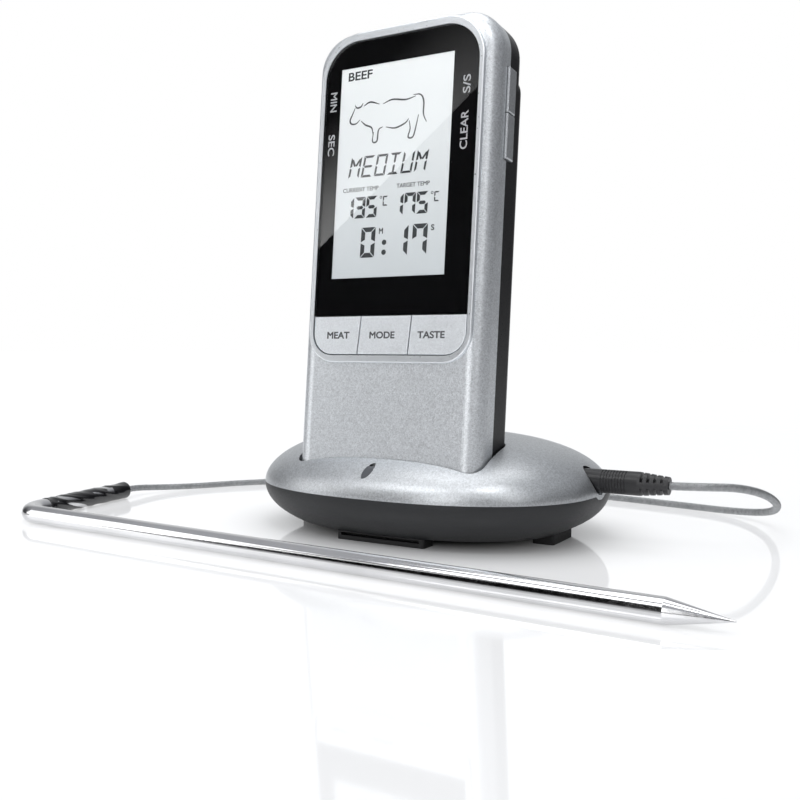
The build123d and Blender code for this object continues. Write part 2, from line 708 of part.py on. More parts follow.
for (key_name, (left, right)), stem_x in zip(KEYS.items(), KEY_STEMS):
    with BuildPart() as key:
        add(
            slab(
                WINDOW_HALF_X - KEY_GAP + 0.1, KEY_BOTTOM + KEY_GAP, WINDOW_BOTTOM - 0.15,
                KEY_CORNER, 0.2, KEY_FACE, KEY_BACK,
            )
        )
        extrude(leaning_strip(left, right, -30, 0), amount=5, dir=-BACK, mode=Mode.INTERSECT)
        fillet(key.faces().sort_by(FORWARD)[-1].edges(), 0.25)
        post(stem_x, KEY_MIDDLE, 1.8, KEY_BACK - 0.2, STEM_END)
    save(key, key_name)

with BuildPart() as front_switches:
    for x in KEY_STEMS:
        block(x - 3, x + 3, KEY_MIDDLE - 3, KEY_MIDDLE + 3, SWITCH_TOP + 0.6, BOARD_DEPTH)
        post(x, KEY_MIDDLE, 1.7, SWITCH_TOP, SWITCH_TOP + 0.7)
save(front_switches, "front_switches")

SIDE_KEYS = {
    "second_button": (-1, 0),
    "minute_button": (-1, 1),
    "clear_button": (1, 0),
    "start_stop_button": (1, 1),
}
SIDE_STEM_X = 24.4
SIDE_SWITCH_X = SIDE_STEM_X - KEY_TRAVEL - 0.1
SIDE_KEY_DEPTH = (SIDE_KEY_FRONT + SIDE_KEY_BACK) / 2

for key_name, (side, row) in SIDE_KEYS.items():
    low = SIDE_KEY_LOW + row * SIDE_KEY_PITCH
    high = low + SIDE_KEY_LENGTH
    outer = side * (BODY_HALF_X + SIDE_KEY_PROUD)
    inner = side * (BODY_HALF_X - 2.2)
    with BuildPart() as key:
        block(min(inner, outer), max(inner, outer), low, high, SIDE_KEY_FRONT, SIDE_KEY_BACK)
        face = key.faces().sort_by(Axis.X)[-1 if side > 0 else 0]
        fillet(face.edges(), 0.5)
        stem = (side * SIDE_STEM_X, inner)
        middle = (low + high) / 2
        block(min(stem), max(stem), middle - 1.5, middle + 1.5, SIDE_KEY_DEPTH - 1.2, SIDE_KEY_DEPTH + 1.2)
    save(key, key_name)

with BuildPart() as side_switches:
    for side, row in SIDE_KEYS.values():
        middle = SIDE_KEY_LOW + row * SIDE_KEY_PITCH + SIDE_KEY_LENGTH / 2
        span = (side * SIDE_SWITCH_X, side * (SIDE_SWITCH_X - 4.0))
        block(min(span), max(span), middle - 2.5, middle + 2.5, BOARD_DEPTH + 1.2, BOARD_DEPTH + 4.2)
save(side_switches, "side_switches")

# ---- what else is inside ----
with BuildPart() as buzzer:
    post(0, 41.3, 7.0, BOARD_DEPTH + 1.2, BOARD_DEPTH + 5.4)
    post(0, 41.3, 1.2, BOARD_DEPTH + 3.0, BOARD_DEPTH + 5.5, mode=Mode.SUBTRACT)
save(buzzer, "buzzer")

with BuildPart() as receiver_module:
    block(8.0, 18.5, 26.0, 38.0, BOARD_DEPTH + 1.2, BOARD_DEPTH + 2.0)
    block(9.0, 17.5, 27.0, 35.0, BOARD_DEPTH + 2.0, BOARD_DEPTH + 4.0)
save(receiver_module, "receiver_module")

with BuildPart() as receiver_antenna:
    with BuildLine() as wire:
        FilletPolyline(
            handset_point(17.0, 36.5, BOARD_DEPTH + 2.6),
            handset_point(17.0, 64.0, BOARD_DEPTH + 2.6),
            handset_point(-17.0, 64.0, BOARD_DEPTH + 2.6),
            handset_point(-17.0, 50.0, BOARD_DEPTH + 2.6),
            radius=2.5,
        )
    with BuildSketch(Plane(wire.line @ 0, z_dir=wire.line % 0)):
        Circle(0.4)
    sweep()
save(receiver_antenna, "receiver_antenna")

with BuildPart() as handset_batteries:
    for x, upright in ((-5.6, True), (5.6, False)):
        foot = handset_point(x, CELL_BOTTOM if upright else CELL_BOTTOM + CELL_LENGTH, CELL_DEPTH)
        add(cell(Plane(foot, z_dir=UP if upright else -UP)))
save(handset_batteries, "handset_batteries")

with BuildPart() as handset_battery_contacts:
    for low in (HATCH_BOTTOM + 0.1, HATCH_TOP - 0.6):
        block(-11.0, 11.0, low, low + 0.5, 9.0, 17.5)
    cell_top = CELL_BOTTOM + CELL_LENGTH
    for x in (-5.6, 5.6):
        for low, high in ((HATCH_BOTTOM + 0.6, CELL_BOTTOM - 0.05), (cell_top + 0.05, HATCH_TOP - 0.6)):
            block(x - 1.5, x + 1.5, low, high, CELL_DEPTH - 1.5, CELL_DEPTH + 1.5)
save(handset_battery_contacts, "handset_battery_contacts")

HATCH_EDGE_RADIUS = 0.7  # the hatch turns on its rounded lower edge

with BuildPart() as handset_battery_hatch:
    block(
        -HATCH_HALF_X + 0.3, HATCH_HALF_X - 0.3, HATCH_BOTTOM + 1.0, HATCH_TOP - 0.3,
        HATCH_DEPTH + 0.1, REAR_DEPTH,
    )
    with BuildSketch(side_plane(0.3 - HATCH_HALF_X)):
        with Locations((REAR_DEPTH - HATCH_EDGE_RADIUS, HATCH_BOTTOM + 1.0)):
            Circle(HATCH_EDGE_RADIUS)
    extrude(amount=2 * HATCH_HALF_X - 0.6)
    # grip ribs by the free end
    for row in range(4):
        block(-7, 7, 12.0 + 2.0 * row, 12.9 + 2.0 * row, REAR_DEPTH - 0.5, REAR_DEPTH + 1, mode=Mode.SUBTRACT)
save(handset_battery_hatch, "handset_battery_hatch")

with BuildPart() as handset_screws:
    for x, height in SHELL_SCREWS:
        post(x, height, 2.0, SCREW_HEAD_DEPTH, SCREW_HEAD_BACK)
        post(x, height, 1.0, HOLLOW_FRONT + 1.2, SCREW_HEAD_DEPTH + 0.2)
        # crossed slots in the head
        for wide, tall in ((1.3, 0.25), (0.25, 1.3)):
            block(
                x - wide, x + wide, height - tall, height + tall,
                SCREW_HEAD_BACK - 0.7, SCREW_HEAD_BACK, Mode.SUBTRACT,
            )
save(handset_screws, "handset_screws")

# =====================================================================================
# probe lead
# =====================================================================================

SHAFT = (PROBE_BEND - PROBE_TIP).normalized()
HANDLE = (PROBE_HANDLE - PROBE_BEND).normalized()
SHOULDER = PROBE_TIP + SHAFT * CONE_LENGTH
TUBE_END = PROBE_HANDLE - HANDLE * 9.0
SLEEVE_START = PROBE_BEND + HANDLE * 10.5
SPIGOT = 4.0


def swept(points, radii, bend_radius, bore=0):
    """Round rod, or tube when it has a bore, along straight runs joined by tangent arcs."""
    with BuildPart() as rod:
        with BuildLine() as path:
            if len(points) > 2:
                FilletPolyline(*points, radius=bend_radius)
            else:
                Line(*points)
        with BuildSketch(Plane(path.line @ 0, z_dir=path.line % 0)):
            Circle(radii)
            if bore:
                Circle(bore, mode=Mode.SUBTRACT)
        sweep()
    return rod.part, path.wire().length


with BuildPart() as probe_tube:
    add(swept([SHOULDER, PROBE_BEND, TUBE_END], PROBE_RADIUS, BEND_RADIUS, PROBE_BORE)[0])
save(probe_tube, "probe_tube")

with BuildPart() as probe_tip:
    with BuildSketch(Plane(SHOULDER, z_dir=-SHAFT)):
        Circle(PROBE_RADIUS)
    with BuildSketch(Plane(PROBE_TIP, z_dir=-SHAFT)):
        Circle(0.15)
    loft()
    with BuildSketch(Plane(SHOULDER, z_dir=SHAFT)):
        Circle(PROBE_BORE - 0.01)
    extrude(amount=SPIGOT)
    with BuildSketch(Plane(SHOULDER + SHAFT * SPIGOT, z_dir=-SHAFT)):
        Circle(1.2)
    extrude(amount=SPIGOT + 6.0, mode=Mode.SUBTRACT)
save(probe_tip, "probe_tip")

with BuildPart() as thermistor:
    with BuildSketch(Plane(SHOULDER - SHAFT * 5.8, z_dir=SHAFT)):
        Circle(1.0)
    extrude(amount=4.5)
save(thermistor, "thermistor")

with BuildPart() as thermistor_lead:
    add(swept([SHOULDER - SHAFT * 1.3, PROBE_BEND, TUBE_END], 0.6, BEND_RADIUS)[0])
save(thermistor_lead, "thermistor_lead")

with BuildPart() as heat_shrink_sleeve:
    with BuildSketch(Plane(SLEEVE_START, z_dir=HANDLE)):
        Circle(SLEEVE_RADIUS)
    extrude(amount=(PROBE_HANDLE - SLEEVE_START).length)
    with BuildSketch(Plane(SLEEVE_START, z_dir=HANDLE)):
        Circle(PROBE_RADIUS + 0.01)
    extrude(amount=(TUBE_END - SLEEVE_START).length, mode=Mode.SUBTRACT)
save(heat_shrink_sleeve, "heat_shrink_sleeve")

PLUG_START_X = JACK_FACE_X + 0.3
RELIEF_X = 66.0
RELIEF_RADIUS = 2.5
PLUG_PLANE = Plane(origin=(0, 0, PLUG_Z), x_dir=(1, 0, 0), z_dir=(0, -1, 0))

with BuildPart() as plug_overmould:
    with BuildSketch(PLUG_PLANE):
        with BuildLine():
            Polyline(
                (PLUG_START_X, 0), (PLUG_START_X, PLUG_RADIUS), (RELIEF_X, PLUG_RADIUS),
                (PLUG_END_X, RELIEF_RADIUS), (PLUG_END_X, 0), close=True,
            )
        make_face()
    revolve(axis=Axis((0, 0, PLUG_Z), (1, 0, 0)))
    # fine grip rings
    for ring in range(9):
        with BuildSketch(Plane.YZ.offset(55.5 + 0.85 * ring)):
            with Locations((0, PLUG_Z)):
                Circle(PLUG_RADIUS + 0.5)
                Circle(PLUG_RADIUS - 0.22, mode=Mode.SUBTRACT)
        extrude(amount=0.4, mode=Mode.SUBTRACT)
    # slots in the strain relief leave a web on each side and a core round the cord
    for slot in range(4):
        x = RELIEF_X + 0.7 + 1.85 * slot
        for side in (-1, 1):
            near = PLUG_Z + side * 0.9
            far = PLUG_Z + side * 4.0
            box_from((x, -4, min(near, far)), (x + 0.8, 4, max(near, far)), mode=Mode.SUBTRACT)
    with BuildSketch(Plane.YZ.offset(RELIEF_X)):
        with Locations((0, PLUG_Z)):
            Circle(1.5)
    extrude(amount=PLUG_END_X - RELIEF_X)
save(plug_overmould, "plug_overmould")

with BuildPart() as plug_pin:
    with BuildSketch(PLUG_PLANE):
        with BuildLine():
            Polyline(
                (PLUG_START_X, 0), (PLUG_START_X, PIN_RADIUS), (PLUG_START_X - 8.6, PIN_RADIUS),
                (PLUG_START_X - 9.2, 0.8), (PLUG_START_X - 9.6, 1.1), (PLUG_START_X - 10.4, 0.9),
                (PLUG_START_X - 11.0, 0.3), (PLUG_START_X - 11.0, 0), close=True,
            )
        make_face()
    revolve(axis=Axis((0, 0, PLUG_Z), (1, 0, 0)))
    for ring in (3.4, 6.2):
        with BuildSketch(Plane.YZ.offset(PLUG_START_X - ring)):
            with Locations((0, PLUG_Z)):
                Circle(PIN_RADIUS + 0.5)
                Circle(PIN_RADIUS - 0.12, mode=Mode.SUBTRACT)
        extrude(amount=0.6, mode=Mode.SUBTRACT)
save(plug_pin, "plug_pin")

# ---- the braided cord ----
route = [Vector(*point) for point in CORD_ROUTE]
cord_radii = []
for index in range(1, len(route) - 1):
    before = route[index] - route[index - 1]
    after = route[index + 1] - route[index]
    turn = radians(before.get_angle(after))
    cord_radii.append(0.45 * min(before.length, after.length) / tan(turn / 2))
print("cord arcs", [round(radius, 1) for radius in cord_radii])
print("cord runs", [round((route[i + 1] - route[i]).length, 1) for i in range(len(route) - 1)])

cord_solid, cord_length = swept(route, CORD_RADIUS, cord_radii)
with BuildPart() as probe_cord:
    add(cord_solid)
save(probe_cord, "probe_cord")
print("cord length", round(cord_length, 1))
print("cord volume ratio", cord_solid.volume / (pi * CORD_RADIUS**2 * cord_length))
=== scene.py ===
"""Looks of the wireless meat thermometer.

Finishes, display, lettering, braided lead, shrunk sleeve, light and camera.  Lengths are metres in the
row's frame.  Places on the leaning handset are given as (x, height, depth): x to the right, height up the
handset from the picture's lower edge, depth backwards from the window's front.
"""

import json
import math

import bmesh
import bpy
import numpy as np
from mathutils import Matrix, Vector, geometry, noise


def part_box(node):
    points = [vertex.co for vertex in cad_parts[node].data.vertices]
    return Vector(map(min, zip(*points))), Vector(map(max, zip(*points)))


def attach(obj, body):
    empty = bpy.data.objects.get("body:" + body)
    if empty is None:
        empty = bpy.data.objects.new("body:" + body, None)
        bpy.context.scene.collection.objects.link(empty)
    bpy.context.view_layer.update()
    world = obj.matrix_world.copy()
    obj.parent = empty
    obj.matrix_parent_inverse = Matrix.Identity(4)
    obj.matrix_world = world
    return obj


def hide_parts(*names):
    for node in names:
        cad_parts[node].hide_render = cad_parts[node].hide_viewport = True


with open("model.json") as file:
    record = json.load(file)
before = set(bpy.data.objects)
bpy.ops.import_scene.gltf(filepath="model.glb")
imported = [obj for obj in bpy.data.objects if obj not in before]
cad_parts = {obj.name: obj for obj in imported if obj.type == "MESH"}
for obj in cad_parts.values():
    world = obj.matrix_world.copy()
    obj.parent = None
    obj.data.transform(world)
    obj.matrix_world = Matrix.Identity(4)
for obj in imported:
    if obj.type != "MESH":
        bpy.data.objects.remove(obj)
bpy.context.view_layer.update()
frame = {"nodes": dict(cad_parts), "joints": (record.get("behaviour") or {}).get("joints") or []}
nodes = frame["nodes"]
MM = 0.001

# =====================================================================================
# camera
# =====================================================================================

CAMERA_PLACE = (0.1424, -0.26135, 0.05705)
CAMERA_AZIMUTH = math.radians(30.56)
CAMERA_PITCH = math.radians(3.33)  # below the horizon
CAMERA_LENS = 42.75


def make_camera():
    data = bpy.data.cameras.new("camera")
    data.lens = CAMERA_LENS
    data.sensor_width = 36.0
    data.clip_start = 0.01
    camera = bpy.data.objects.new("camera", data)
    camera.location = CAMERA_PLACE
    camera.rotation_euler = (math.pi / 2 - CAMERA_PITCH, 0, CAMERA_AZIMUTH)
    bpy.context.scene.collection.objects.link(camera)
    bpy.context.scene.camera = camera


make_camera()

# =====================================================================================
# the handset's own directions and limits, from the frame
# =====================================================================================


def joint_axis(name):
    joint = next(j for j in frame["joints"] if j["name"] == name)
    return Vector(joint["axis"]).normalized()


RIGHT = Vector((1, 0, 0))
UP = joint_axis("handset_lift")
BACK = joint_axis("mode_press")


def limits(node, direction):
    """Lowest and highest place of a CAD node along a direction."""
    along = [vertex.co.dot(direction) for vertex in nodes[node].data.vertices]
    return min(along), max(along)


PICTURE_WIDTH = 38.0 * MM
PICTURE_HEIGHT = 63.1 * MM
WINDOW_LOW, WINDOW_HIGH = limits("display_window", UP)
WINDOW_FRONT, WINDOW_BACK = limits("display_window", BACK)
WINDOW_HALF = limits("display_window", RIGHT)[1]
LCD_FRONT = limits("lcd_panel", BACK)[0]
PICTURE_LEFT = sum(limits("lcd_panel", RIGHT)) / 2 - PICTURE_WIDTH / 2
PICTURE_FOOT = WINDOW_LOW + 10.9 * MM
SEEN_SHIFT = (-0.35 * MM, 0.35 * MM)  # evens out the bend of light in the window


def on_face(x, height, depth):
    """Point of the row's frame for a place on the handset."""
    return RIGHT * x + UP * (PICTURE_FOOT + height) + BACK * (WINDOW_FRONT + depth)


# =====================================================================================
# material helpers
# =====================================================================================


def new_material(name):
    """A material with its tree, its Principled node and its coordinates, in metres of the row's frame."""
    material = bpy.data.materials.new(name)
    material.use_nodes = True
    tree = material.node_tree
    shader = tree.nodes["Principled BSDF"]
    place = tree.nodes.new("ShaderNodeTexCoord").outputs["Object"]
    return material, tree, shader, place


def noise_node(tree, place, scale, detail=2.0, rough=0.5):
    node = tree.nodes.new("ShaderNodeTexNoise")
    node.inputs["Scale"].default_value = scale
    node.inputs["Detail"].default_value = detail
    node.inputs["Roughness"].default_value = rough
    tree.links.new(place, node.inputs["Vector"])
    return node.outputs["Fac"]


def cells_node(tree, place, scale):
    """A random colour for each small cell."""
    node = tree.nodes.new("ShaderNodeTexVoronoi")
    node.inputs["Scale"].default_value = scale
    tree.links.new(place, node.inputs["Vector"])
    return node.outputs["Color"]


def span(tree, value, low, high, from_low=0.0, from_high=1.0):
    """A value carried from one range into another."""
    node = tree.nodes.new("ShaderNodeMapRange")
    node.inputs["From Min"].default_value = from_low
    node.inputs["From Max"].default_value = from_high
    node.inputs["To Min"].default_value = low
    node.inputs["To Max"].default_value = high
    tree.links.new(value, node.inputs["Value"])
    return node.outputs["Result"]


def soft_span(tree, value, from_low, from_high):
    """Nought to one, easing in and out between two values."""
    node = tree.nodes.new("ShaderNodeMapRange")
    node.interpolation_type = "SMOOTHSTEP"
    node.inputs["From Min"].default_value = from_low
    node.inputs["From Max"].default_value = from_high
    tree.links.new(value, node.inputs["Value"])
    return node.outputs["Result"]


def math_node(tree, operation, first, second):
    node = tree.nodes.new("ShaderNodeMath")
    node.operation = operation
    for socket, value in zip(node.inputs, (first, second)):
        if isinstance(value, (int, float)):
            socket.default_value = value
        else:
            tree.links.new(value, socket)
    return node.outputs[0]


def mix_colour(tree, factor, first, second):
    node = tree.nodes.new("ShaderNodeMix")
    node.data_type = "RGBA"
    tree.links.new(factor, node.inputs["Factor"])
    for socket, value in ((node.inputs[6], first), (node.inputs[7], second)):
        if isinstance(value, tuple):
            socket.default_value = (*value, 1.0)
        else:
            tree.links.new(value, socket)
    return node.outputs[2]


def along_axis(tree, place, direction):
    """How far a point lies along a direction."""
    node = tree.nodes.new("ShaderNodeVectorMath")
    node.operation = "DOT_PRODUCT"
    tree.links.new(place, node.inputs[0])
    node.inputs[1].default_value = direction
    return node.outputs["Value"]


def bump(tree, shader, height, distance, strength=1.0, socket="Normal"):
    node = tree.nodes.new("ShaderNodeBump")
    node.inputs["Distance"].default_value = distance
    node.inputs["Strength"].default_value = strength
    tree.links.new(height, node.inputs["Height"])
    tree.links.new(node.outputs["Normal"], shader.inputs[socket])


def grey(value):
    """A slightly cool grey."""
    return (value * 0.965, value, value * 1.035)


# =====================================================================================
# materials
# =====================================================================================


FLAKE_SCALE = 3400.0  # cells in a metre
CLOUD_SCALE = 1500.0
FLAKE_SHARE = 0.45  # of the grain; the rest is cloud
RIM_GREY = 0.86
RIM_SMOOTHER = 0.08
RIM_BLEND = 0.05 * MM


def silver_paint(name, dark, light, rough, rim_depth=None):
    """Metallic lacquer: fine flakes of differing brightness under a thin clear coat.

    With a rim depth, all that lies in front of it has the smoother, brighter finish of the raised bezel.
    """
    material, tree, shader, place = new_material(name)
    flakes = span(tree, cells_node(tree, place, FLAKE_SCALE), 0.0, 1.0)
    cloud = noise_node(tree, place, CLOUD_SCALE, 3.0, 0.6)
    sparkle = math_node(tree, "MULTIPLY", flakes, FLAKE_SHARE)
    grain = math_node(tree, "ADD", sparkle, math_node(tree, "MULTIPLY", cloud, 1 - FLAKE_SHARE))
    colour = mix_colour(tree, span(tree, grain, 0.0, 1.0, 0.25, 0.75), grey(dark), grey(light))
    roughness = span(tree, cloud, rough - 0.05, rough + 0.07, 0.3, 0.7)
    if rim_depth is not None:
        depth = along_axis(tree, place, BACK)
        rim = span(tree, depth, 1.0, 0.0, rim_depth - RIM_BLEND, rim_depth + RIM_BLEND)
        colour = mix_colour(tree, rim, colour, grey(RIM_GREY))
        roughness = math_node(tree, "SUBTRACT", roughness, math_node(tree, "MULTIPLY", rim, RIM_SMOOTHER))
    tree.links.new(colour, shader.inputs["Base Color"])
    tree.links.new(roughness, shader.inputs["Roughness"])
    shader.inputs["Metallic"].default_value = 0.85
    shader.inputs["Coat Weight"].default_value = 0.12
    shader.inputs["Coat Roughness"].default_value = 0.25
    bump(tree, shader, grain, 0.012 * MM)
    return material


def moulded(name, colour, rough, grain_scale=2600.0, grain_depth=0.008, variation=0.25, shine=0.5):
    """Moulded plastic or rubber with a fine spark-eroded texture and slight unevenness."""
    material, tree, shader, place = new_material(name)
    fine = noise_node(tree, place, grain_scale, 2.0, 0.6)
    broad = noise_node(tree, place, 60.0, 3.0)
    deep = tuple(channel * (1 - variation) for channel in colour)
    pale = tuple(channel * (1 + variation) for channel in colour)
    colour = mix_colour(tree, span(tree, broad, 0.0, 1.0, 0.3, 0.7), deep, pale)
    tree.links.new(colour, shader.inputs["Base Color"])
    tree.links.new(span(tree, fine, rough - 0.07, rough + 0.07, 0.3, 0.7), shader.inputs["Roughness"])
    shader.inputs["Specular IOR Level"].default_value = shine
    bump(tree, shader, fine, grain_depth * MM)
    return material


def polished(name, colour, rough=0.08, coat=0.0):
    """Smooth hard plastic with faint haze in its shine."""
    material, tree, shader, place = new_material(name)
    haze = noise_node(tree, place, 220.0, 4.0)
    paler = tuple(min(1.0, channel * 1.12 + 0.002) for channel in colour)
    tree.links.new(mix_colour(tree, haze, colour, paler), shader.inputs["Base Color"])
    tree.links.new(span(tree, haze, rough * 0.8, rough * 1.3, 0.3, 0.7), shader.inputs["Roughness"])
    shader.inputs["Coat Weight"].default_value = coat
    shader.inputs["Coat Roughness"].default_value = 0.03
    return material


def metal(name, colour, rough, brush=None, brush_depth=0.004):
    """Metal, with fine scratches across the brush direction where one is given."""
    material, tree, shader, place = new_material(name)
    stretched = tree.nodes.new("ShaderNodeMapping")
    stretched.inputs["Scale"].default_value = brush or (1, 1, 1)
    tree.links.new(place, stretched.inputs["Vector"])
    lines = noise_node(tree, stretched.outputs["Vector"], 900.0, 3.0)
    stain = noise_node(tree, place, 45.0, 3.0)
    darker = tuple(channel * 0.9 for channel in colour)
    stained = mix_colour(tree, span(tree, stain, 0.0, 1.0, 0.35, 0.65), darker, colour)
    tree.links.new(stained, shader.inputs["Base Color"])
    tree.links.new(span(tree, lines, rough * 0.8, rough * 1.3, 0.3, 0.7), shader.inputs["Roughness"])
    shader.inputs["Metallic"].default_value = 1.0
    if brush:
        bump(tree, shader, lines, brush_depth * MM)
    return material


def circuit_board(name):
    """Green board with a lattice of paler traces."""
    material, tree, shader, place = new_material(name)
    traces = tree.nodes.new("ShaderNodeTexBrick")
    traces.inputs["Scale"].default_value = 180.0
    traces.inputs["Mortar Size"].default_value = 0.03
    traces.inputs["Color1"].default_value = (0.010, 0.075, 0.030, 1)
    traces.inputs["Color2"].default_value = (0.013, 0.095, 0.037, 1)
    traces.inputs["Mortar"].default_value = (0.05, 0.23, 0.10, 1)
    tree.links.new(place, traces.inputs["Vector"])
    tree.links.new(traces.outputs["Color"], shader.inputs["Base Color"])
    shader.inputs["Roughness"].default_value = 0.32
    bump(tree, shader, traces.outputs["Fac"], 0.03 * MM)
    return material


def cell_film(name):
    """Shrink film of a dry cell: dark blue with a slight metallic swirl."""
    material, tree, shader, place = new_material(name)
    swirl = noise_node(tree, place, 90.0, 3.0)
    blue = mix_colour(tree, swirl, (0.02, 0.05, 0.13), (0.05, 0.11, 0.22))
    tree.links.new(blue, shader.inputs["Base Color"])
    tree.links.new(span(tree, swirl, 0.16, 0.3), shader.inputs["Roughness"])
    shader.inputs["Metallic"].default_value = 0.35
    return material


def window_glass(name):
    """Clear acrylic pane. Light from lamps passes straight through it."""
    material, tree, shader, _ = new_material(name)
    shader.inputs["Base Color"].default_value = (1, 1, 1, 1)
    shader.inputs["Roughness"].default_value = 0.0
    shader.inputs["IOR"].default_value = 1.46
    shader.inputs["Transmission Weight"].default_value = 1.0
    clear = tree.nodes.new("ShaderNodeBsdfTransparent")
    mix = tree.nodes.new("ShaderNodeMixShader")
    path = tree.nodes.new("ShaderNodeLightPath")
    tree.links.new(path.outputs["Is Shadow Ray"], mix.inputs[0])
    tree.links.new(shader.outputs[0], mix.inputs[1])
    tree.links.new(clear.outputs[0], mix.inputs[2])
    tree.links.new(mix.outputs[0], tree.nodes["Material Output"].inputs["Surface"])
    return material


# Strength of the painted glow that keeps the picture bright whatever the lamps do.
LCD_PAINTED_GLOW = 0.6


def lcd_face_painted_glow(name):
    """Picture area: pale cool grey with a painted glow that keeps it bright under any light, and a painted
    reflection that makes it lighter towards its top and deeper towards its foot; faintly mottled.
    """
    material, tree, shader, place = new_material(name)
    # Painted reflection: the picture grows lighter towards its top, with a random mottle on top of that.
    height = along_axis(tree, place, UP)
    painted_reflection_rise = span(tree, height, 0.0, 1.0, PICTURE_FOOT, PICTURE_FOOT + PICTURE_HEIGHT)
    mottle = noise_node(tree, place, 1800.0, 2.0)
    painted_reflection_and_mottle = math_node(tree, "ADD", painted_reflection_rise, span(tree, mottle, -0.06, 0.06))
    colour = mix_colour(tree, painted_reflection_and_mottle, (0.36, 0.385, 0.40), (0.54, 0.56, 0.565))
    tree.links.new(colour, shader.inputs["Base Color"])
    # Painted glow: the picture's own colour shines out of it.
    tree.links.new(colour, shader.inputs["Emission Color"])
    shader.inputs["Emission Strength"].default_value = LCD_PAINTED_GLOW
    shader.inputs["Roughness"].default_value = 0.45
    return material


def braid_wire(name):
    """Fine plated wires, some a little duller than others."""
    material, tree, shader, place = new_material(name)
    wear = noise_node(tree, place, 700.0, 2.0)
    colour = mix_colour(tree, wear, (0.26, 0.27, 0.28), (0.62, 0.63, 0.64))
    tree.links.new(colour, shader.inputs["Base Color"])
    tree.links.new(span(tree, wear, 0.45, 0.28), shader.inputs["Roughness"])
    shader.inputs["Metallic"].default_value = 0.9
    return material


PAINT = silver_paint("silver_paint", 0.44, 0.68, 0.38)
SHELL_PAINT = silver_paint("silver_shell_paint", 0.60, 0.88, 0.40, WINDOW_FRONT + 0.70 * MM)
KEY_PAINT = silver_paint("silver_key_paint", 0.80, 0.93, 0.42)
SIDE_KEY_PAINT = silver_paint("side_key_paint", 0.42, 0.56, 0.42)
COVER_BLACK = moulded("cover_black", (0.005, 0.005, 0.006), 0.33, shine=0.25)
HULL_GREY = moulded("hull_grey", (0.019, 0.020, 0.022), 0.44, variation=0.12, shine=0.4)
RUBBER_BLACK = moulded("rubber_black", (0.012, 0.012, 0.013), 0.62, 1400.0, 0.02)
PLUG_BLACK = moulded("plug_black", (0.016, 0.016, 0.018), 0.36, 1900.0, 0.01)
WHITE_PLASTIC = moulded("white_plastic", (0.72, 0.72, 0.70), 0.5, variation=0.05)
DARK_GLOSS = polished("dark_gloss", (0.008, 0.008, 0.009), 0.12)
PRINT_BLACK = moulded("print_black", (0.002, 0.002, 0.0025), 0.6, shine=0.03)
SLEEVE_BLACK = polished("sleeve_black", (0.006, 0.006, 0.007), 0.07, 0.6)
LENS_GREY = polished("lens_grey", (0.07, 0.075, 0.085), 0.12, 0.8)
STEEL = metal("polished_steel", (0.78, 0.78, 0.79), 0.11)
GROUND_STEEL = metal("ground_steel", (0.78, 0.78, 0.79), 0.13)
PLATED = metal("plated_steel", (0.60, 0.60, 0.59), 0.30, (1, 1, 12))
GOLD = metal("gold_plate", (0.83, 0.62, 0.27), 0.20)
COPPER = metal("copper_wire", (0.78, 0.42, 0.25), 0.30)
BOARD = circuit_board("circuit_board")
CELL_FILM = cell_film("cell_film")
WINDOW_GLASS = window_glass("window_glass")
LCD_FACE_PAINTED_GLOW = lcd_face_painted_glow("lcd_face_painted_glow")
BRAID = braid_wire("braid_wire")
CORD_CORE = moulded("cord_core", (0.05, 0.05, 0.052), 0.6)
MARK_GREY = moulded("lcd_mark_grey", (0.022, 0.026, 0.030), 0.5, variation=0.1)
LABEL_GREY = moulded("key_label_grey", (0.07, 0.072, 0.078), 0.55, variation=0.1)
LABEL_PALE = moulded("border_label_pale", (0.42, 0.43, 0.45), 0.55, variation=0.08)

NODE_MATERIALS = {
    "base_top_shell": PAINT,
    "base_bottom_shell": HULL_GREY,
    "front_foot": RUBBER_BLACK,
    "side_feet": RUBBER_BLACK,
    "status_lens": LENS_GREY,
    "status_led": WHITE_PLASTIC,
    "transmitter_board": BOARD,
    "radio_module": PLATED,
    "transmitter_chip": DARK_GLOSS,
    "transmitter_antenna": COPPER,
    "probe_jack": DARK_GLOSS,
    "base_batteries": CELL_FILM,
    "base_battery_contacts": PLATED,
    "base_screws": PLATED,
    "base_switch_body": DARK_GLOSS,
    "base_battery_door": HULL_GREY,
    "base_power_switch": RUBBER_BLACK,
    "handset_front_shell": SHELL_PAINT,
    "handset_rear_cover": COVER_BLACK,
    "display_window": WINDOW_GLASS,
    "lcd_holder": PRINT_BLACK,
    "lcd_panel": LCD_FACE_PAINTED_GLOW,
    "backlight_panel": WHITE_PLASTIC,
    "lcd_connector_strip": RUBBER_BLACK,
    "main_board": BOARD,
    "front_switches": PLATED,
    "side_switches": PLATED,
    "buzzer": DARK_GLOSS,
    "receiver_module": PLATED,
    "receiver_antenna": COPPER,
    "handset_batteries": CELL_FILM,
    "handset_battery_contacts": PLATED,
    "handset_screws": PLATED,
    "handset_battery_hatch": COVER_BLACK,
    "meat_button": KEY_PAINT,
    "mode_button": KEY_PAINT,
    "taste_button": KEY_PAINT,
    "second_button": SIDE_KEY_PAINT,
    "minute_button": SIDE_KEY_PAINT,
    "clear_button": SIDE_KEY_PAINT,
    "start_stop_button": SIDE_KEY_PAINT,
    "plug_pin": GOLD,
    "plug_overmould": PLUG_BLACK,
    "probe_tube": STEEL,
    "probe_tip": GROUND_STEEL,
    "thermistor": DARK_GLOSS,
    "thermistor_lead": WHITE_PLASTIC,
}

for node_name, node_material in NODE_MATERIALS.items():
    node_slots = nodes[node_name].data.materials
    node_slots.clear()
    node_slots.append(node_material)

# =====================================================================================
# flat marks: prisms and lettering on the handset's face
# =====================================================================================


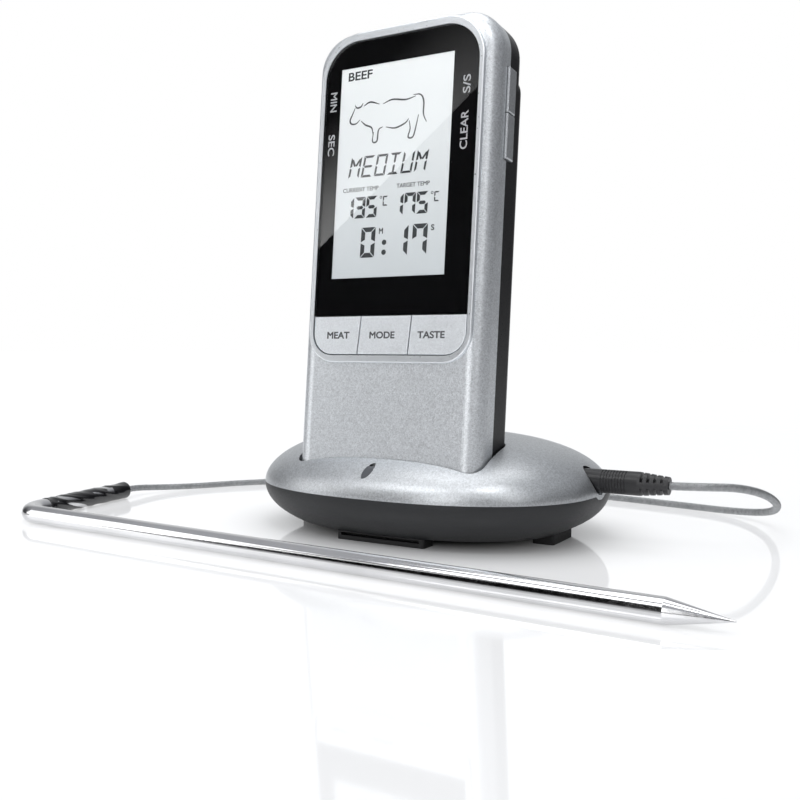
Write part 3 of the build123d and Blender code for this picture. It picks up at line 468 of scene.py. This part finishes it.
def make_piece(name, vertices, faces, material, body, smooth=False):
    """A mesh piece that rides on a body."""
    mesh = bpy.data.meshes.new(name)
    mesh.from_pydata([tuple(v) for v in vertices], [], faces)
    mesh.materials.append(material)
    if smooth:
        mesh.shade_smooth()
    piece = bpy.data.objects.new(name, mesh)
    bpy.context.scene.collection.objects.link(piece)
    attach(piece, body)
    return piece


class Marks:
    """Thin closed prisms gathered into one mesh, drawn in the plane of the handset's face."""

    def __init__(self, depth, thickness=0.02 * MM, shift=(0.0, 0.0)):
        self.depth = depth
        self.shift = shift
        self.thickness = thickness
        self.vertices = []
        self.faces = []

    def polygon(self, outline):
        """A closed outline of (x, height) points, anticlockwise, as a prism standing forwards."""
        start = len(self.vertices)
        outline = [(x + self.shift[0], height + self.shift[1]) for x, height in outline]
        count = len(outline)
        for depth in (self.depth, self.depth - self.thickness):
            self.vertices += [on_face(x, height, depth) for x, height in outline]
        self.faces.append([start + count + i for i in range(count)])
        self.faces.append([start + i for i in reversed(range(count))])
        for i in range(count):
            j = (i + 1) % count
            self.faces.append([start + i, start + j, start + count + j, start + count + i])

    def stroke(self, points, width, taper=0.0):
        """A line of even or tapering width through points, rounded by a smooth curve."""
        path = smooth_line(points)
        left, right = [], []
        for i, point in enumerate(path):
            ahead = path[min(i + 1, len(path) - 1)] - path[max(i - 1, 0)]
            side = Vector((-ahead.y, ahead.x)).normalized()
            swell = 1 - taper + taper * math.sin(math.pi * i / (len(path) - 1))
            left.append(tuple(point + side * width / 2 * swell))
            right.append(tuple(point - side * width / 2 * swell))
        for i in range(len(path) - 1):
            self.polygon([right[i], right[i + 1], left[i + 1], left[i]])

    def lettering(self, text, centre, width, cap_height, turn=0.0, bold=0.0):
        """A word in the built-in typeface, fitted to a width and a height, and turned about its centre.

        Bold is the width of a bevel round each letter, as a share of the letters' size.
        """
        curve = bpy.data.curves.new("lettering", "FONT")
        curve.body = text
        curve.bevel_depth = bold
        curve.bevel_resolution = 0
        curve.extrude = 0.5
        writing = bpy.data.objects.new("lettering", curve)
        mesh = bpy.data.meshes.new_from_object(writing)
        low = [min(v.co[k] for v in mesh.vertices) for k in range(2)]
        high = [max(v.co[k] for v in mesh.vertices) for k in range(2)]
        start = len(self.vertices)
        for vertex in mesh.vertices:
            x = (vertex.co.x - (low[0] + high[0]) / 2) / (high[0] - low[0]) * width
            y = (vertex.co.y - (low[1] + high[1]) / 2) / (high[1] - low[1]) * cap_height
            spot = Vector((x, y))
            spot.rotate(Matrix.Rotation(turn, 2))
            depth = self.depth - (vertex.co.z + 0.5) * self.thickness
            spot += Vector(centre) + Vector(self.shift)
            self.vertices.append(on_face(spot.x, spot.y, depth))
        self.faces += [[start + i for i in face.vertices] for face in mesh.polygons]
        bpy.data.meshes.remove(mesh)
        bpy.data.curves.remove(curve)

    def piece(self, name, material, body):
        piece = make_piece(name, self.vertices, self.faces, material, body)
        tidy = bmesh.new()
        tidy.from_mesh(piece.data)
        bmesh.ops.remove_doubles(tidy, verts=tidy.verts, dist=1e-7)
        bmesh.ops.recalc_face_normals(tidy, faces=tidy.faces)
        tidy.to_mesh(piece.data)
        tidy.free()
        return piece


def smooth_line(points, steps=6):
    """Catmull-Rom curve through (x, height) points."""
    points = [Vector(p) for p in points]
    ends = [points[0] * 2 - points[1], *points, points[-1] * 2 - points[-2]]
    path = []
    for i in range(1, len(ends) - 2):
        p0, p1, p2, p3 = ends[i - 1 : i + 3]
        for step in range(steps):
            t = step / steps
            path.append(
                0.5 * (2 * p1 + (p2 - p0) * t + (2 * p0 - 5 * p1 + 4 * p2 - p3) * t**2
                       + (3 * p1 - p0 - 3 * p2 + p3) * t**3)
            )
    path.append(points[-1])
    return path


# ---- the display's segment characters ----

# Outer bars by their outer edge and the side that they thicken towards; the inner ones by their centre line.
OUTER_BARS = {
    "a": ((0, 1), (1, 1), (0, -1)),
    "b": ((1, 1), (1, 0.5), (-1, 0)),
    "c": ((1, 0), (1, 0.5), (-1, 0)),
    "d": ((0, 0), (1, 0), (0, 1)),
    "e": ((0, 0), (0, 0.5), (1, 0)),
    "f": ((0, 1), (0, 0.5), (1, 0)),
}
INNER_BARS = {
    "g": ((0, 0.5), (1, 0.5)),
    "h": ((0.1, 0.92), (0.5, 0.52)),
    "i": ((0.5, 1), (0.5, 0.5)),
    "j": ((0.9, 0.92), (0.5, 0.52)),
    "l": ((0.5, 0.5), (0.5, 0)),
}
CHARACTERS = {
    "0": "abcdef", "1": "bc", "3": "abcdg", "5": "acdfg", "7": "abcf",
    "C": "adef", "D": "abcdef", "E": "adefg", "I": "adil", "M": "bcefhj", "U": "bcdef",
}
BAR_GAP = 0.11  # share of a bar's thickness left free at each end
INNER_TRIM = 0.3  # the same for the bars that meet in the middle


def segment_character(marks, character, left, foot, width, height, thick, slant=0.0):
    """One character of bars with mitred ends and thin gaps between them."""
    gap = thick * BAR_GAP
    for name in CHARACTERS[character]:
        if name in OUTER_BARS:
            first, last, inward = OUTER_BARS[name]
            inward = Vector(inward) * thick
            first_mitre, last_mitre = thick, thick if name in "ad" else thick / 2
        else:
            first, last = INNER_BARS[name]
            inward = None
        start, stop = (Vector((u * width, v * height)) for u, v in (first, last))
        along = (stop - start).normalized()
        if inward is None:
            side = Vector((-along.y, along.x)) * thick / 2
            point = along * thick / 2
            trim = along * (thick / 2 + gap if name == "g" else thick * INNER_TRIM)
            start, stop = start + trim, stop - trim
            corners = [start, start + point - side, stop - point - side]
            corners += [stop, stop - point + side, start + point + side]
        else:
            start, stop = start + along * gap, stop - along * gap
            corners = [start, stop, stop + inward - along * last_mitre, start + inward + along * first_mitre]
            if along.cross(inward) < 0:
                corners.reverse()
        marks.polygon([(left + p.x + slant * p.y, foot + p.y) for p in corners])


def disc(marks, x, height, radius, hole=0.0, count=20):
    """A dot, or a ring where it has a hole."""
    ring = [(math.cos(2 * math.pi * i / count), math.sin(2 * math.pi * i / count)) for i in range(count)]
    if not hole:
        marks.polygon([(x + radius * c, height + radius * s) for c, s in ring])
        return
    for i in range(count):
        (c0, s0), (c1, s1) = ring[i], ring[(i + 1) % count]
        marks.polygon(
            [
                (x + hole * c0, height + hole * s0), (x + radius * c0, height + radius * s0),
                (x + radius * c1, height + radius * s1), (x + hole * c1, height + hole * s1),
            ]
        )


# The animal over the reading: a plain standing ox in a few brush strokes.  Millimetres in the picture.
OX_STROKES = [
    [(5.2, 51.0), (6.0, 50.1), (7.3, 50.3), (8.0, 51.3)],
    [(5.3, 50.2), (4.6, 48.6), (3.7, 46.6), (4.3, 45.5), (5.9, 45.4), (7.2, 46.4)],
    [(8.4, 50.4), (10.6, 51.3), (13.8, 50.3)],
    [(15.0, 50.2), (18.2, 51.1), (22.6, 50.5), (26.0, 51.1)],
    [(25.2, 51.6), (27.6, 51.3), (28.7, 49.2), (28.8, 45.6), (29.9, 43.2)],
    [(7.6, 46.0), (9.3, 44.6), (11.4, 43.6), (12.0, 41.6)],
    [(12.2, 42.2), (12.0, 39.4), (13.5, 39.4), (13.9, 42.6), (15.3, 43.4)],
    [(16.4, 43.2), (19.6, 42.6), (22.8, 43.6), (24.0, 44.8)],
    [(24.2, 44.2), (24.6, 41.8), (24.1, 39.4), (25.7, 39.4), (26.6, 42.6), (27.2, 45.6)],
]


OX_LIFT = 0.8
OX_LINE = 0.50 * MM
OX_TAPER = 0.6

# Rows of segment characters, in millimetres of the picture: pitch, foot, width, height, thickness and slant.
DONENESS_ROW = (4.5, 29.8, 3.7, 6.3, 0.66, 0.17)
READING_ROW = (4.05, 17.7, 3.7, 6.3, 1.02, 0.02)
UNIT_ROW = (0.0, 20.8, 1.7, 2.9, 0.40, 0.0)
CLOCK_ROW = (6.3, 5.9, 4.9, 8.9, 1.38, 0.02)
READINGS = ((2.8, "135"), (19.8, "175"))
DEGREE_AFTER = 13.1  # from a reading's start to its degree ring
UNIT_AFTER = 13.8
DEGREE_HEIGHT = 23.4
COLON_PLACE = 17.75
COLON_HEIGHTS = (7.2, 10.1)

# Words in millimetres of the picture: text, middle across, middle up, width, height and boldness.
CAPTIONS = (
    ("BEEF", 6.6, 60.6, 8.4, 2.6, 0.022),
    ("CURRENT TEMP", 8.7, 26.3, 12.4, 1.25, 0.012),
    ("TARGET TEMP", 26.5, 26.3, 10.9, 1.25, 0.012),
    ("M", 16.5, 13.5, 1.4, 1.7, 0.03),
    ("S", 33.6, 13.5, 1.1, 1.7, 0.03),
)
# Words that name the side keys: text, middle across, middle up, length and turn.
BORDER_WORDS = (
    ("MIN", -2.85, 54.0, 5.9, -math.pi / 2),
    ("SEC", -2.95, 40.9, 6.4, -math.pi / 2),
    ("S/S", 41.95, 53.5, 5.2, math.pi / 2),
    ("CLEAR", 41.75, 40.6, 10.9, math.pi / 2),
)
BORDER_LETTER = 2.3 * MM
BORDER_BOLD = 0.012
# Words on the front keys: key, text, place across from the key's middle, and width.
KEY_WORDS = (
    ("meat_button", "MEAT", 0.6, 7.9),
    ("mode_button", "MODE", -0.6, 8.5),
    ("taste_button", "TASTE", -1.8, 8.7),
)
KEY_WORD_HEIGHT = -16.6 * MM
KEY_LETTER = 2.05 * MM
KEY_BOLD = 0.03


def millimetres(points):
    return [(PICTURE_LEFT + u * MM, (v + OX_LIFT) * MM) for u, v in points]


def character_row(marks, text, start, row):
    pitch, foot, width, height, thick, slant = row
    for number, character in enumerate(text):
        left = PICTURE_LEFT + (start + pitch * number) * MM
        segment_character(marks, character, left, foot * MM, width * MM, height * MM, thick * MM, slant)


def make_display_marks():
    marks = Marks(LCD_FRONT - WINDOW_FRONT - 0.005 * MM, shift=SEEN_SHIFT)
    for stroke in OX_STROKES:
        marks.stroke(millimetres(stroke), OX_LINE, taper=OX_TAPER)
    character_row(marks, "MEDIUM", 4.0, DONENESS_ROW)
    for start, reading in READINGS:
        character_row(marks, reading, start, READING_ROW)
        ring_place = PICTURE_LEFT + (start + DEGREE_AFTER) * MM
        disc(marks, ring_place, DEGREE_HEIGHT * MM, 0.42 * MM, 0.22 * MM)
        character_row(marks, "C", start + UNIT_AFTER, UNIT_ROW)
    character_row(marks, "0", 9.6, CLOCK_ROW)
    character_row(marks, "17", 20.7, CLOCK_ROW)
    for height in COLON_HEIGHTS:
        disc(marks, PICTURE_LEFT + COLON_PLACE * MM, height * MM, 0.78 * MM)
    for text, u, v, width, tall, bold in CAPTIONS:
        marks.lettering(text, (PICTURE_LEFT + u * MM, v * MM), width * MM, tall * MM, bold=bold)
    marks.piece("lcd_marks", MARK_GREY, "handset")


def make_border_labels():
    """The four words beside the picture that name the side keys."""
    labels = Marks(WINDOW_BACK - WINDOW_FRONT + 0.03 * MM)
    for text, u, v, length, turn in BORDER_WORDS:
        centre = (PICTURE_LEFT + u * MM, v * MM)
        labels.lettering(text, centre, length * MM, BORDER_LETTER, turn, BORDER_BOLD)
    labels.piece("border_labels", LABEL_PALE, "handset")


def make_key_labels():
    """One word on each front key, riding on the key's own body."""
    for key, text, shift, width in KEY_WORDS:
        middle = sum(limits(key, RIGHT)) / 2
        label = Marks(limits(key, BACK)[0] - WINDOW_FRONT - 0.002 * MM, 0.015 * MM)
        label.lettering(text, (middle + shift * MM, KEY_WORD_HEIGHT), width * MM, KEY_LETTER, bold=KEY_BOLD)
        label.piece(key.replace("button", "label"), LABEL_GREY, key)


WINDOW_TOP_RADIUS = 11.0 * MM
PRINT_MARGIN = 0.06 * MM


def arc(x, height, radius, start, stop, count=14):
    """Points of an arc about a centre, from one angle to another."""
    angles = [start + (stop - start) * i / count for i in range(count + 1)]
    return [(x + radius * math.cos(a), height + radius * math.sin(a)) for a in angles]


def make_window_print():
    """The black border printed on the back of the window, open over the picture."""
    half = WINDOW_HALF - PRINT_MARGIN
    foot = WINDOW_LOW - PICTURE_FOOT + PRINT_MARGIN
    top = WINDOW_HIGH - PICTURE_FOOT - PRINT_MARGIN
    radius = WINDOW_TOP_RADIUS - PRINT_MARGIN
    outer = [(-half, foot), (half, foot)]
    outer += arc(half - radius, top - radius, radius, 0, math.pi / 2)
    outer += arc(radius - half, top - radius, radius, math.pi / 2, math.pi)
    left, low = PICTURE_LEFT + SEEN_SHIFT[0], SEEN_SHIFT[1]
    right, high = left + PICTURE_WIDTH, low + PICTURE_HEIGHT
    inner = [(left, low), (right, low), (right, high), (left, high)]
    flat = [[Vector((x, y, 0)) for x, y in loop] for loop in (outer, inner)]
    triangles = geometry.tessellate_polygon(flat)
    depth = WINDOW_BACK - WINDOW_FRONT + 0.035 * MM
    vertices = [on_face(x, y, d) for d in (depth, depth + 0.012 * MM) for x, y in outer + inner]
    count = len(outer) + len(inner)
    faces = [list(t) for t in triangles]
    faces += [[count + i for i in reversed(t)] for t in triangles]
    for start, size in ((0, len(outer)), (len(outer), len(inner))):
        for i in range(size):
            a, b = start + i, start + (i + 1) % size
            faces.append([a, b, count + b, count + a])
    piece = make_piece("window_print", vertices, faces, PRINT_BLACK, "handset")
    tidy = bmesh.new()
    tidy.from_mesh(piece.data)
    bmesh.ops.recalc_face_normals(tidy, faces=tidy.faces)
    tidy.to_mesh(piece.data)
    tidy.free()


make_display_marks()
make_border_labels()
make_key_labels()
make_window_print()

# =====================================================================================
# the braided cord, the same route as in the CAD source
# =====================================================================================

CORD_ROUTE = [
    (0.0743, 0.0, 0.0182),
    (0.0830, 0.0001, 0.0185),
    (0.0910, 0.0080, 0.0180),
    (0.0960, 0.0220, 0.0146),
    (0.0970, 0.0385, 0.0090),
    (0.0920, 0.0545, 0.0040),
    (0.0790, 0.0660, 0.0015),
    (0.0600, 0.0715, 0.0012),
    (0.0320, 0.0765, 0.0012),
    (-0.0060, 0.0805, 0.0012),
    (-0.0500, 0.0750, 0.0012),
    (-0.0840, 0.0580, 0.0012),
    (-0.1060, 0.0380, 0.0012),
    (-0.1180, 0.0180, 0.0012),
    (-0.1240, 0.0050, 0.0020),
    (-0.1256, -0.0044, 0.0030),
    (-0.1246, -0.0111, 0.0031),
]
CORE_RADIUS = 0.93 * MM
STRANDS = 8  # in each direction
BRAID_PITCH = 7.0 * MM
WIRE_WIDTH = 0.56 * MM
WIRE_THICK = 0.16 * MM


def cord_curve():
    """The cord's core: a smooth spline with the route's points as its control points."""
    curve = bpy.data.curves.new("probe_cord_core", "CURVE")
    curve.dimensions = "3D"
    curve.resolution_u = 10
    curve.bevel_depth = CORE_RADIUS
    curve.bevel_resolution = 4
    curve.use_fill_caps = True
    spline = curve.splines.new("NURBS")
    spline.points.add(len(CORD_ROUTE) - 1)
    for point, spot in zip(spline.points, CORD_ROUTE):
        point.co = (*spot, 1.0)
    spline.order_u = 3
    spline.use_endpoint_u = True
    curve.materials.append(CORD_CORE)
    cord = bpy.data.objects.new("probe_cord_core", curve)
    bpy.context.scene.collection.objects.link(cord)
    return cord


def spline_points(cord):
    """The cord's centreline, read from its own spline."""
    bare = bpy.data.objects.new("bare", cord.data.copy())
    bare.data.bevel_depth = 0
    mesh = bpy.data.meshes.new_from_object(bare)
    line = np.array([tuple(v.co) for v in mesh.vertices])
    bpy.data.meshes.remove(mesh)
    bpy.data.curves.remove(bare.data)
    return line


def frames_along(line, step):
    """Evenly spaced points with two directions across the line that turn with it and never twist."""
    gaps = np.linalg.norm(np.diff(line, axis=0), axis=1)
    along = np.concatenate([[0], np.cumsum(gaps)])
    places = np.linspace(0, along[-1], round(along[-1] / step) + 1)
    spots = np.stack([np.interp(places, along, line[:, k]) for k in range(3)], axis=1)
    ahead = np.gradient(spots, axis=0)
    ahead /= np.linalg.norm(ahead, axis=1)[:, None]
    sides = []
    side = np.cross(ahead[0], (0, 0, 1))
    for direction in ahead:
        side = side - direction * side.dot(direction)
        side /= np.linalg.norm(side)
        sides.append(side)
    sides = np.array(sides)
    return places, spots, sides, np.cross(ahead, sides)


def braid_strand(frames, number, hand, vertices, faces):
    """One flat strand that winds round the core and passes over and under those of the other hand."""
    places, spots, sides, ups = frames
    turn = hand * 2 * math.pi * places / BRAID_PITCH + 2 * math.pi * number / STRANDS
    wave = 2 * math.pi * STRANDS * places / BRAID_PITCH + math.pi * number + (0 if hand > 0 else math.pi)
    middle = CORE_RADIUS + WIRE_THICK * 0.55 + WIRE_THICK * 0.42 * np.cos(wave)
    spread = WIRE_WIDTH / 2 / CORE_RADIUS
    start = len(vertices)
    corners = ((-spread, -0.35), (spread, -0.35), (0.45 * spread, 0.5), (-0.45 * spread, 0.5))
    for i in range(len(places)):
        for angle, lift in corners:
            radius = middle[i] + lift * WIRE_THICK
            a = turn[i] + angle
            vertices.append(spots[i] + radius * (math.cos(a) * sides[i] + math.sin(a) * ups[i]))
    count = len(corners)
    for i in range(len(places) - 1):
        for k in range(count):
            a = start + i * count + k
            b = start + i * count + (k + 1) % count
            faces.append([a, b, b + count, a + count])
    last = start + (len(places) - 1) * count
    faces.append([start + k for k in reversed(range(count))])
    faces.append([last + k for k in range(count)])


def make_cord():
    cord = cord_curve()
    step = BRAID_PITCH / (STRANDS * 4)
    frames = frames_along(spline_points(cord), step)
    vertices, faces = [], []
    for hand in (-1, 1):
        for number in range(STRANDS):
            braid_strand(frames, number, hand, vertices, faces)
    braid = make_piece("probe_cord_braid", vertices, faces, BRAID, "probe_lead", smooth=True)
    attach(cord, "probe_lead")
    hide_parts("probe_cord")
    return cord, braid


# =====================================================================================
# shrunk sleeve over the probe's handle
# =====================================================================================

SLEEVE_AROUND = 56  # points round the sleeve
SLEEVE_RINGS = 150
SLEEVE_GRIP = 2.93 * MM
SLEEVE_SKIN = 3.1 * MM
SLEEVE_MOUTH = 1.35 * MM
MOUTH_DEPTH = 1.2 * MM
CREASE_DEPTH = 0.50  # millimetres
RIPPLE_DEPTH = 0.012


def axis_of(node):
    """End points of a round node's axis, from its vertices."""
    points = np.array([tuple(v.co) for v in nodes[node].data.vertices])
    middle = (points.min(0) + points.max(0)) / 2
    direction = np.linalg.svd(points - points.mean(0), full_matrices=False)[2][0]
    reach = (points - middle) @ direction
    ends = [middle + direction * reach.min(), middle + direction * reach.max()]
    return sorted((Vector(e) for e in ends), key=lambda e: e.y)


def make_sleeve():
    """Shiny shrunk tube: it grips the steel, is creased in slanting folds and closes round the cord."""
    foot, head = axis_of("heat_shrink_sleeve")
    along = (head - foot).normalized()
    side = along.cross(Vector((0, 0, 1))).normalized()
    top = side.cross(along)
    length = (head - foot).length
    profile = [(0.0, SLEEVE_GRIP), (0.0, SLEEVE_SKIN * 0.985)]
    profile += [(length * i / SLEEVE_RINGS, SLEEVE_SKIN) for i in range(1, SLEEVE_RINGS)]
    profile += [(length, SLEEVE_SKIN * 0.97), (length, SLEEVE_MOUTH)]
    profile += [(length - MOUTH_DEPTH, SLEEVE_MOUTH * 0.8)]
    vertices, faces = [], []
    for place, radius in profile:
        share = place / length
        for k in range(SLEEVE_AROUND):
            angle = 2 * math.pi * k / SLEEVE_AROUND
            ring = side * math.cos(angle) + top * math.sin(angle)
            spot = Vector((place * 150 + 1.3 * math.sin(angle), math.cos(angle) * 0.7, math.sin(angle) * 0.7))
            crease = abs(noise.noise(spot))
            ripple = noise.noise(Vector((place * 900, math.cos(angle) * 3, math.sin(angle) * 3 + 7)))
            outside = radius > 2 * MM
            sink = (CREASE_DEPTH * crease + RIPPLE_DEPTH * ripple) * MM if outside else 0.0
            sink *= min(1.0, share * 12, (1 - share) * 9 + 0.25)
            vertices.append(foot + along * place + ring * (radius - max(sink, -0.04 * MM)))
    for i in range(len(profile) - 1):
        for k in range(SLEEVE_AROUND):
            a = i * SLEEVE_AROUND + k
            b = i * SLEEVE_AROUND + (k + 1) % SLEEVE_AROUND
            faces.append([a, a + SLEEVE_AROUND, b + SLEEVE_AROUND, b])
    last = (len(profile) - 1) * SLEEVE_AROUND
    faces.append([last + k for k in reversed(range(SLEEVE_AROUND))])
    faces.append(list(range(SLEEVE_AROUND)))
    sleeve = make_piece("shrunk_sleeve", vertices, faces, SLEEVE_BLACK, "probe_lead", smooth=True)
    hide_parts("heat_shrink_sleeve")
    return sleeve


cord_piece, braid_piece = make_cord()
sleeve_piece = make_sleeve()

# =====================================================================================
# studio
# =====================================================================================

FLOOR_REACH = 6.0
FLOOR_GLOW = 0.40
# Painted shadow under the base: the floor's glow fades out inside these shares of the base's half sizes.
FLOOR_PAINTED_SHADOW = (0.55, 1.45)  # the glow rises between these shares of the base's half sizes
WORLD_FRONT_LOW = (0.06, 0.06, 0.065)
WORLD_OVERHEAD = (0.43, 0.44, 0.46)
WORLD_BEHIND = (0.70, 0.71, 0.72)
AWAY_FROM_CAMERA = (-0.508, 0.861, 0)
MIRRORED_BY_WINDOW = (-0.48, -0.80, 0.36)


def make_floor():
    """Glossy white table top, faintly lit from within, with a painted shadow under the base where that glow
    fades.
    """
    material, tree, shader, place = new_material("floor_white")
    shader.inputs["Base Color"].default_value = (0.60, 0.605, 0.615, 1)
    shader.inputs["Roughness"].default_value = 0.05
    shader.inputs["IOR"].default_value = 2.1
    shader.inputs["Emission Color"].default_value = (1, 1, 1, 1)
    base_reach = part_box("base_bottom_shell")[1]
    footprint = tree.nodes.new("ShaderNodeMapping")
    footprint.inputs["Scale"].default_value = (1 / base_reach[0], 1 / base_reach[1], 0)
    tree.links.new(place, footprint.inputs["Vector"])
    outwards = tree.nodes.new("ShaderNodeVectorMath")
    outwards.operation = "LENGTH"
    tree.links.new(footprint.outputs["Vector"], outwards.inputs[0])
    # Painted shadow: the glow fades out under the base.
    outside_painted_shadow = soft_span(tree, outwards.outputs["Value"], *FLOOR_PAINTED_SHADOW)
    tree.links.new(math_node(tree, "MULTIPLY", outside_painted_shadow, FLOOR_GLOW), shader.inputs["Emission Strength"])
    mesh = bpy.data.meshes.new("floor")
    corners = [(x * FLOOR_REACH, y * FLOOR_REACH, 0) for x, y in ((-1, -1), (1, -1), (1, 1), (-1, 1))]
    mesh.from_pydata(corners, [], [(0, 1, 2, 3)])
    mesh.materials.append(material)
    floor = bpy.data.objects.new("floor", mesh)
    bpy.context.scene.collection.objects.link(floor)


def make_world():
    """Pale behind the object, dark low in front, black where the window looks, and white to the camera."""
    world = bpy.data.worlds.new("studio")
    world.use_nodes = True
    bpy.context.scene.world = world
    tree = world.node_tree
    background = tree.nodes["Background"]
    direction = tree.nodes.new("ShaderNodeTexCoord").outputs["Generated"]
    overhead = soft_span(tree, along_axis(tree, direction, (0, 0, 1)), 0.20, 0.75)
    behind = soft_span(tree, along_axis(tree, direction, AWAY_FROM_CAMERA), 0.55, 0.93)
    mirrored = soft_span(tree, along_axis(tree, direction, MIRRORED_BY_WINDOW), 0.93, 0.972)
    front = mix_colour(tree, overhead, WORLD_FRONT_LOW, WORLD_OVERHEAD)
    front = mix_colour(tree, mirrored, front, (0, 0, 0))
    glow = mix_colour(tree, behind, front, WORLD_BEHIND)
    path = tree.nodes.new("ShaderNodeLightPath")
    shown = mix_colour(tree, path.outputs["Is Camera Ray"], glow, (1, 1, 1))
    tree.links.new(shown, background.inputs["Color"])
    background.inputs["Strength"].default_value = 1.0


def area_light(name, place, target, width, height, radiance):
    """A soft box of an even radiance, facing a target."""
    data = bpy.data.lights.new(name, "AREA")
    data.shape = "RECTANGLE"
    data.size = width
    data.size_y = height
    data.energy = radiance * math.pi * width * height
    light = bpy.data.objects.new(name, data)
    light.location = place
    light.rotation_euler = (Vector(target) - Vector(place)).to_track_quat("-Z", "Y").to_euler()
    bpy.context.scene.collection.objects.link(light)
    return light


# Each softbox: place, target, width, height and radiance.
SOFTBOXES = {
    "front_key": ((-0.26, -0.62, 0.80), (0, 0, 0.05), 0.60, 0.28, 3.3),
    "top_box": ((-0.10, 0.05, 0.90), (0, 0, 0), 0.70, 0.50, 2.0),
    "right_strip": ((0.60, -0.50, 0.48), (0, 0, 0.10), 0.30, 0.60, 1.3),
    "left_box": ((-0.66, -0.42, 0.28), (0, 0, 0.06), 0.34, 0.50, 1.4),
    "right_box": ((0.02, -0.82, 0.30), (0, 0, 0.06), 0.26, 0.50, 2.6),
    "crown_spot": ((0.22, -0.30, 0.62), (0.02, 0, 0.02), 0.16, 0.16, 7.5),
}
CARD_RADIANCE = 2.6
CARD_AIM = 30 * MM  # height on the window's face
CARD_DISTANCE = 0.60
CARD_LENGTH = 1.10
CARD_HEIGHT = 0.50
CARD_FADE = 0.15  # share of the height over which it dims
CARD_EDGE = ((-26.0 * MM, 9.2 * MM), (23.0 * MM, 50.0 * MM))  # where the card's edge shows in the window


def fade_card(light):
    """Brightest along the left part of the lower edge, dark above and dimmer to the right."""
    light.data.use_nodes = True
    tree = light.data.node_tree
    across = tree.nodes.new("ShaderNodeSeparateXYZ")
    tree.links.new(tree.nodes.new("ShaderNodeNewGeometry").outputs["Parametric"], across.inputs["Vector"])
    fade = tree.nodes.new("ShaderNodeMapRange")
    fade.interpolation_type = "SMOOTHSTEP"
    fade.inputs["From Min"].default_value = 0.0
    fade.inputs["From Max"].default_value = CARD_FADE
    fade.inputs["To Min"].default_value = 1.0
    fade.inputs["To Max"].default_value = 0.0
    tree.links.new(across.outputs["Y"], fade.inputs["Value"])
    left = span(tree, across.outputs["X"], 1.0, 0.1, 0.35, 0.65)
    strength = math_node(tree, "MULTIPLY", fade.outputs["Result"], left)
    tree.links.new(strength, tree.nodes["Emission"].inputs["Strength"])


def window_card():
    """The softbox whose lower edge is mirrored in the window as a slanting line, from the camera's place."""
    normal = -BACK
    eye = Vector(CAMERA_PLACE)
    surface = on_face(0, 0, 0)
    mirrored = eye - 2 * (eye - surface).dot(normal) * normal
    aim = (on_face(0, CARD_AIM, 0) - mirrored).normalized()
    centre = on_face(0, CARD_AIM, 0) + aim * CARD_DISTANCE
    ends = []
    for x, height in CARD_EDGE:
        ray = on_face(x, height, 0) - mirrored
        ends.append(mirrored + ray * ((centre - mirrored).dot(aim) / ray.dot(aim)))
    edge = (ends[1] - ends[0]).normalized()
    upward = edge.cross(aim)
    if upward.z < 0:
        upward = -upward
    middle = (ends[0] + ends[1]) / 2 + upward * CARD_HEIGHT / 2
    light = area_light("window_card", middle, middle - aim, CARD_LENGTH, CARD_HEIGHT, CARD_RADIANCE)
    turned = Matrix((edge, upward, edge.cross(upward))).transposed()
    if turned.col[2].dot(aim) < 0:
        turned = Matrix((-edge, upward, (-edge).cross(upward))).transposed()
    light.rotation_euler = turned.to_euler()
    fade_card(light)


make_floor()
make_world()
window_card()
for box_name, softbox in SOFTBOXES.items():
    area_light(box_name, *softbox)

bpy.context.scene.view_settings.view_transform = "Standard"
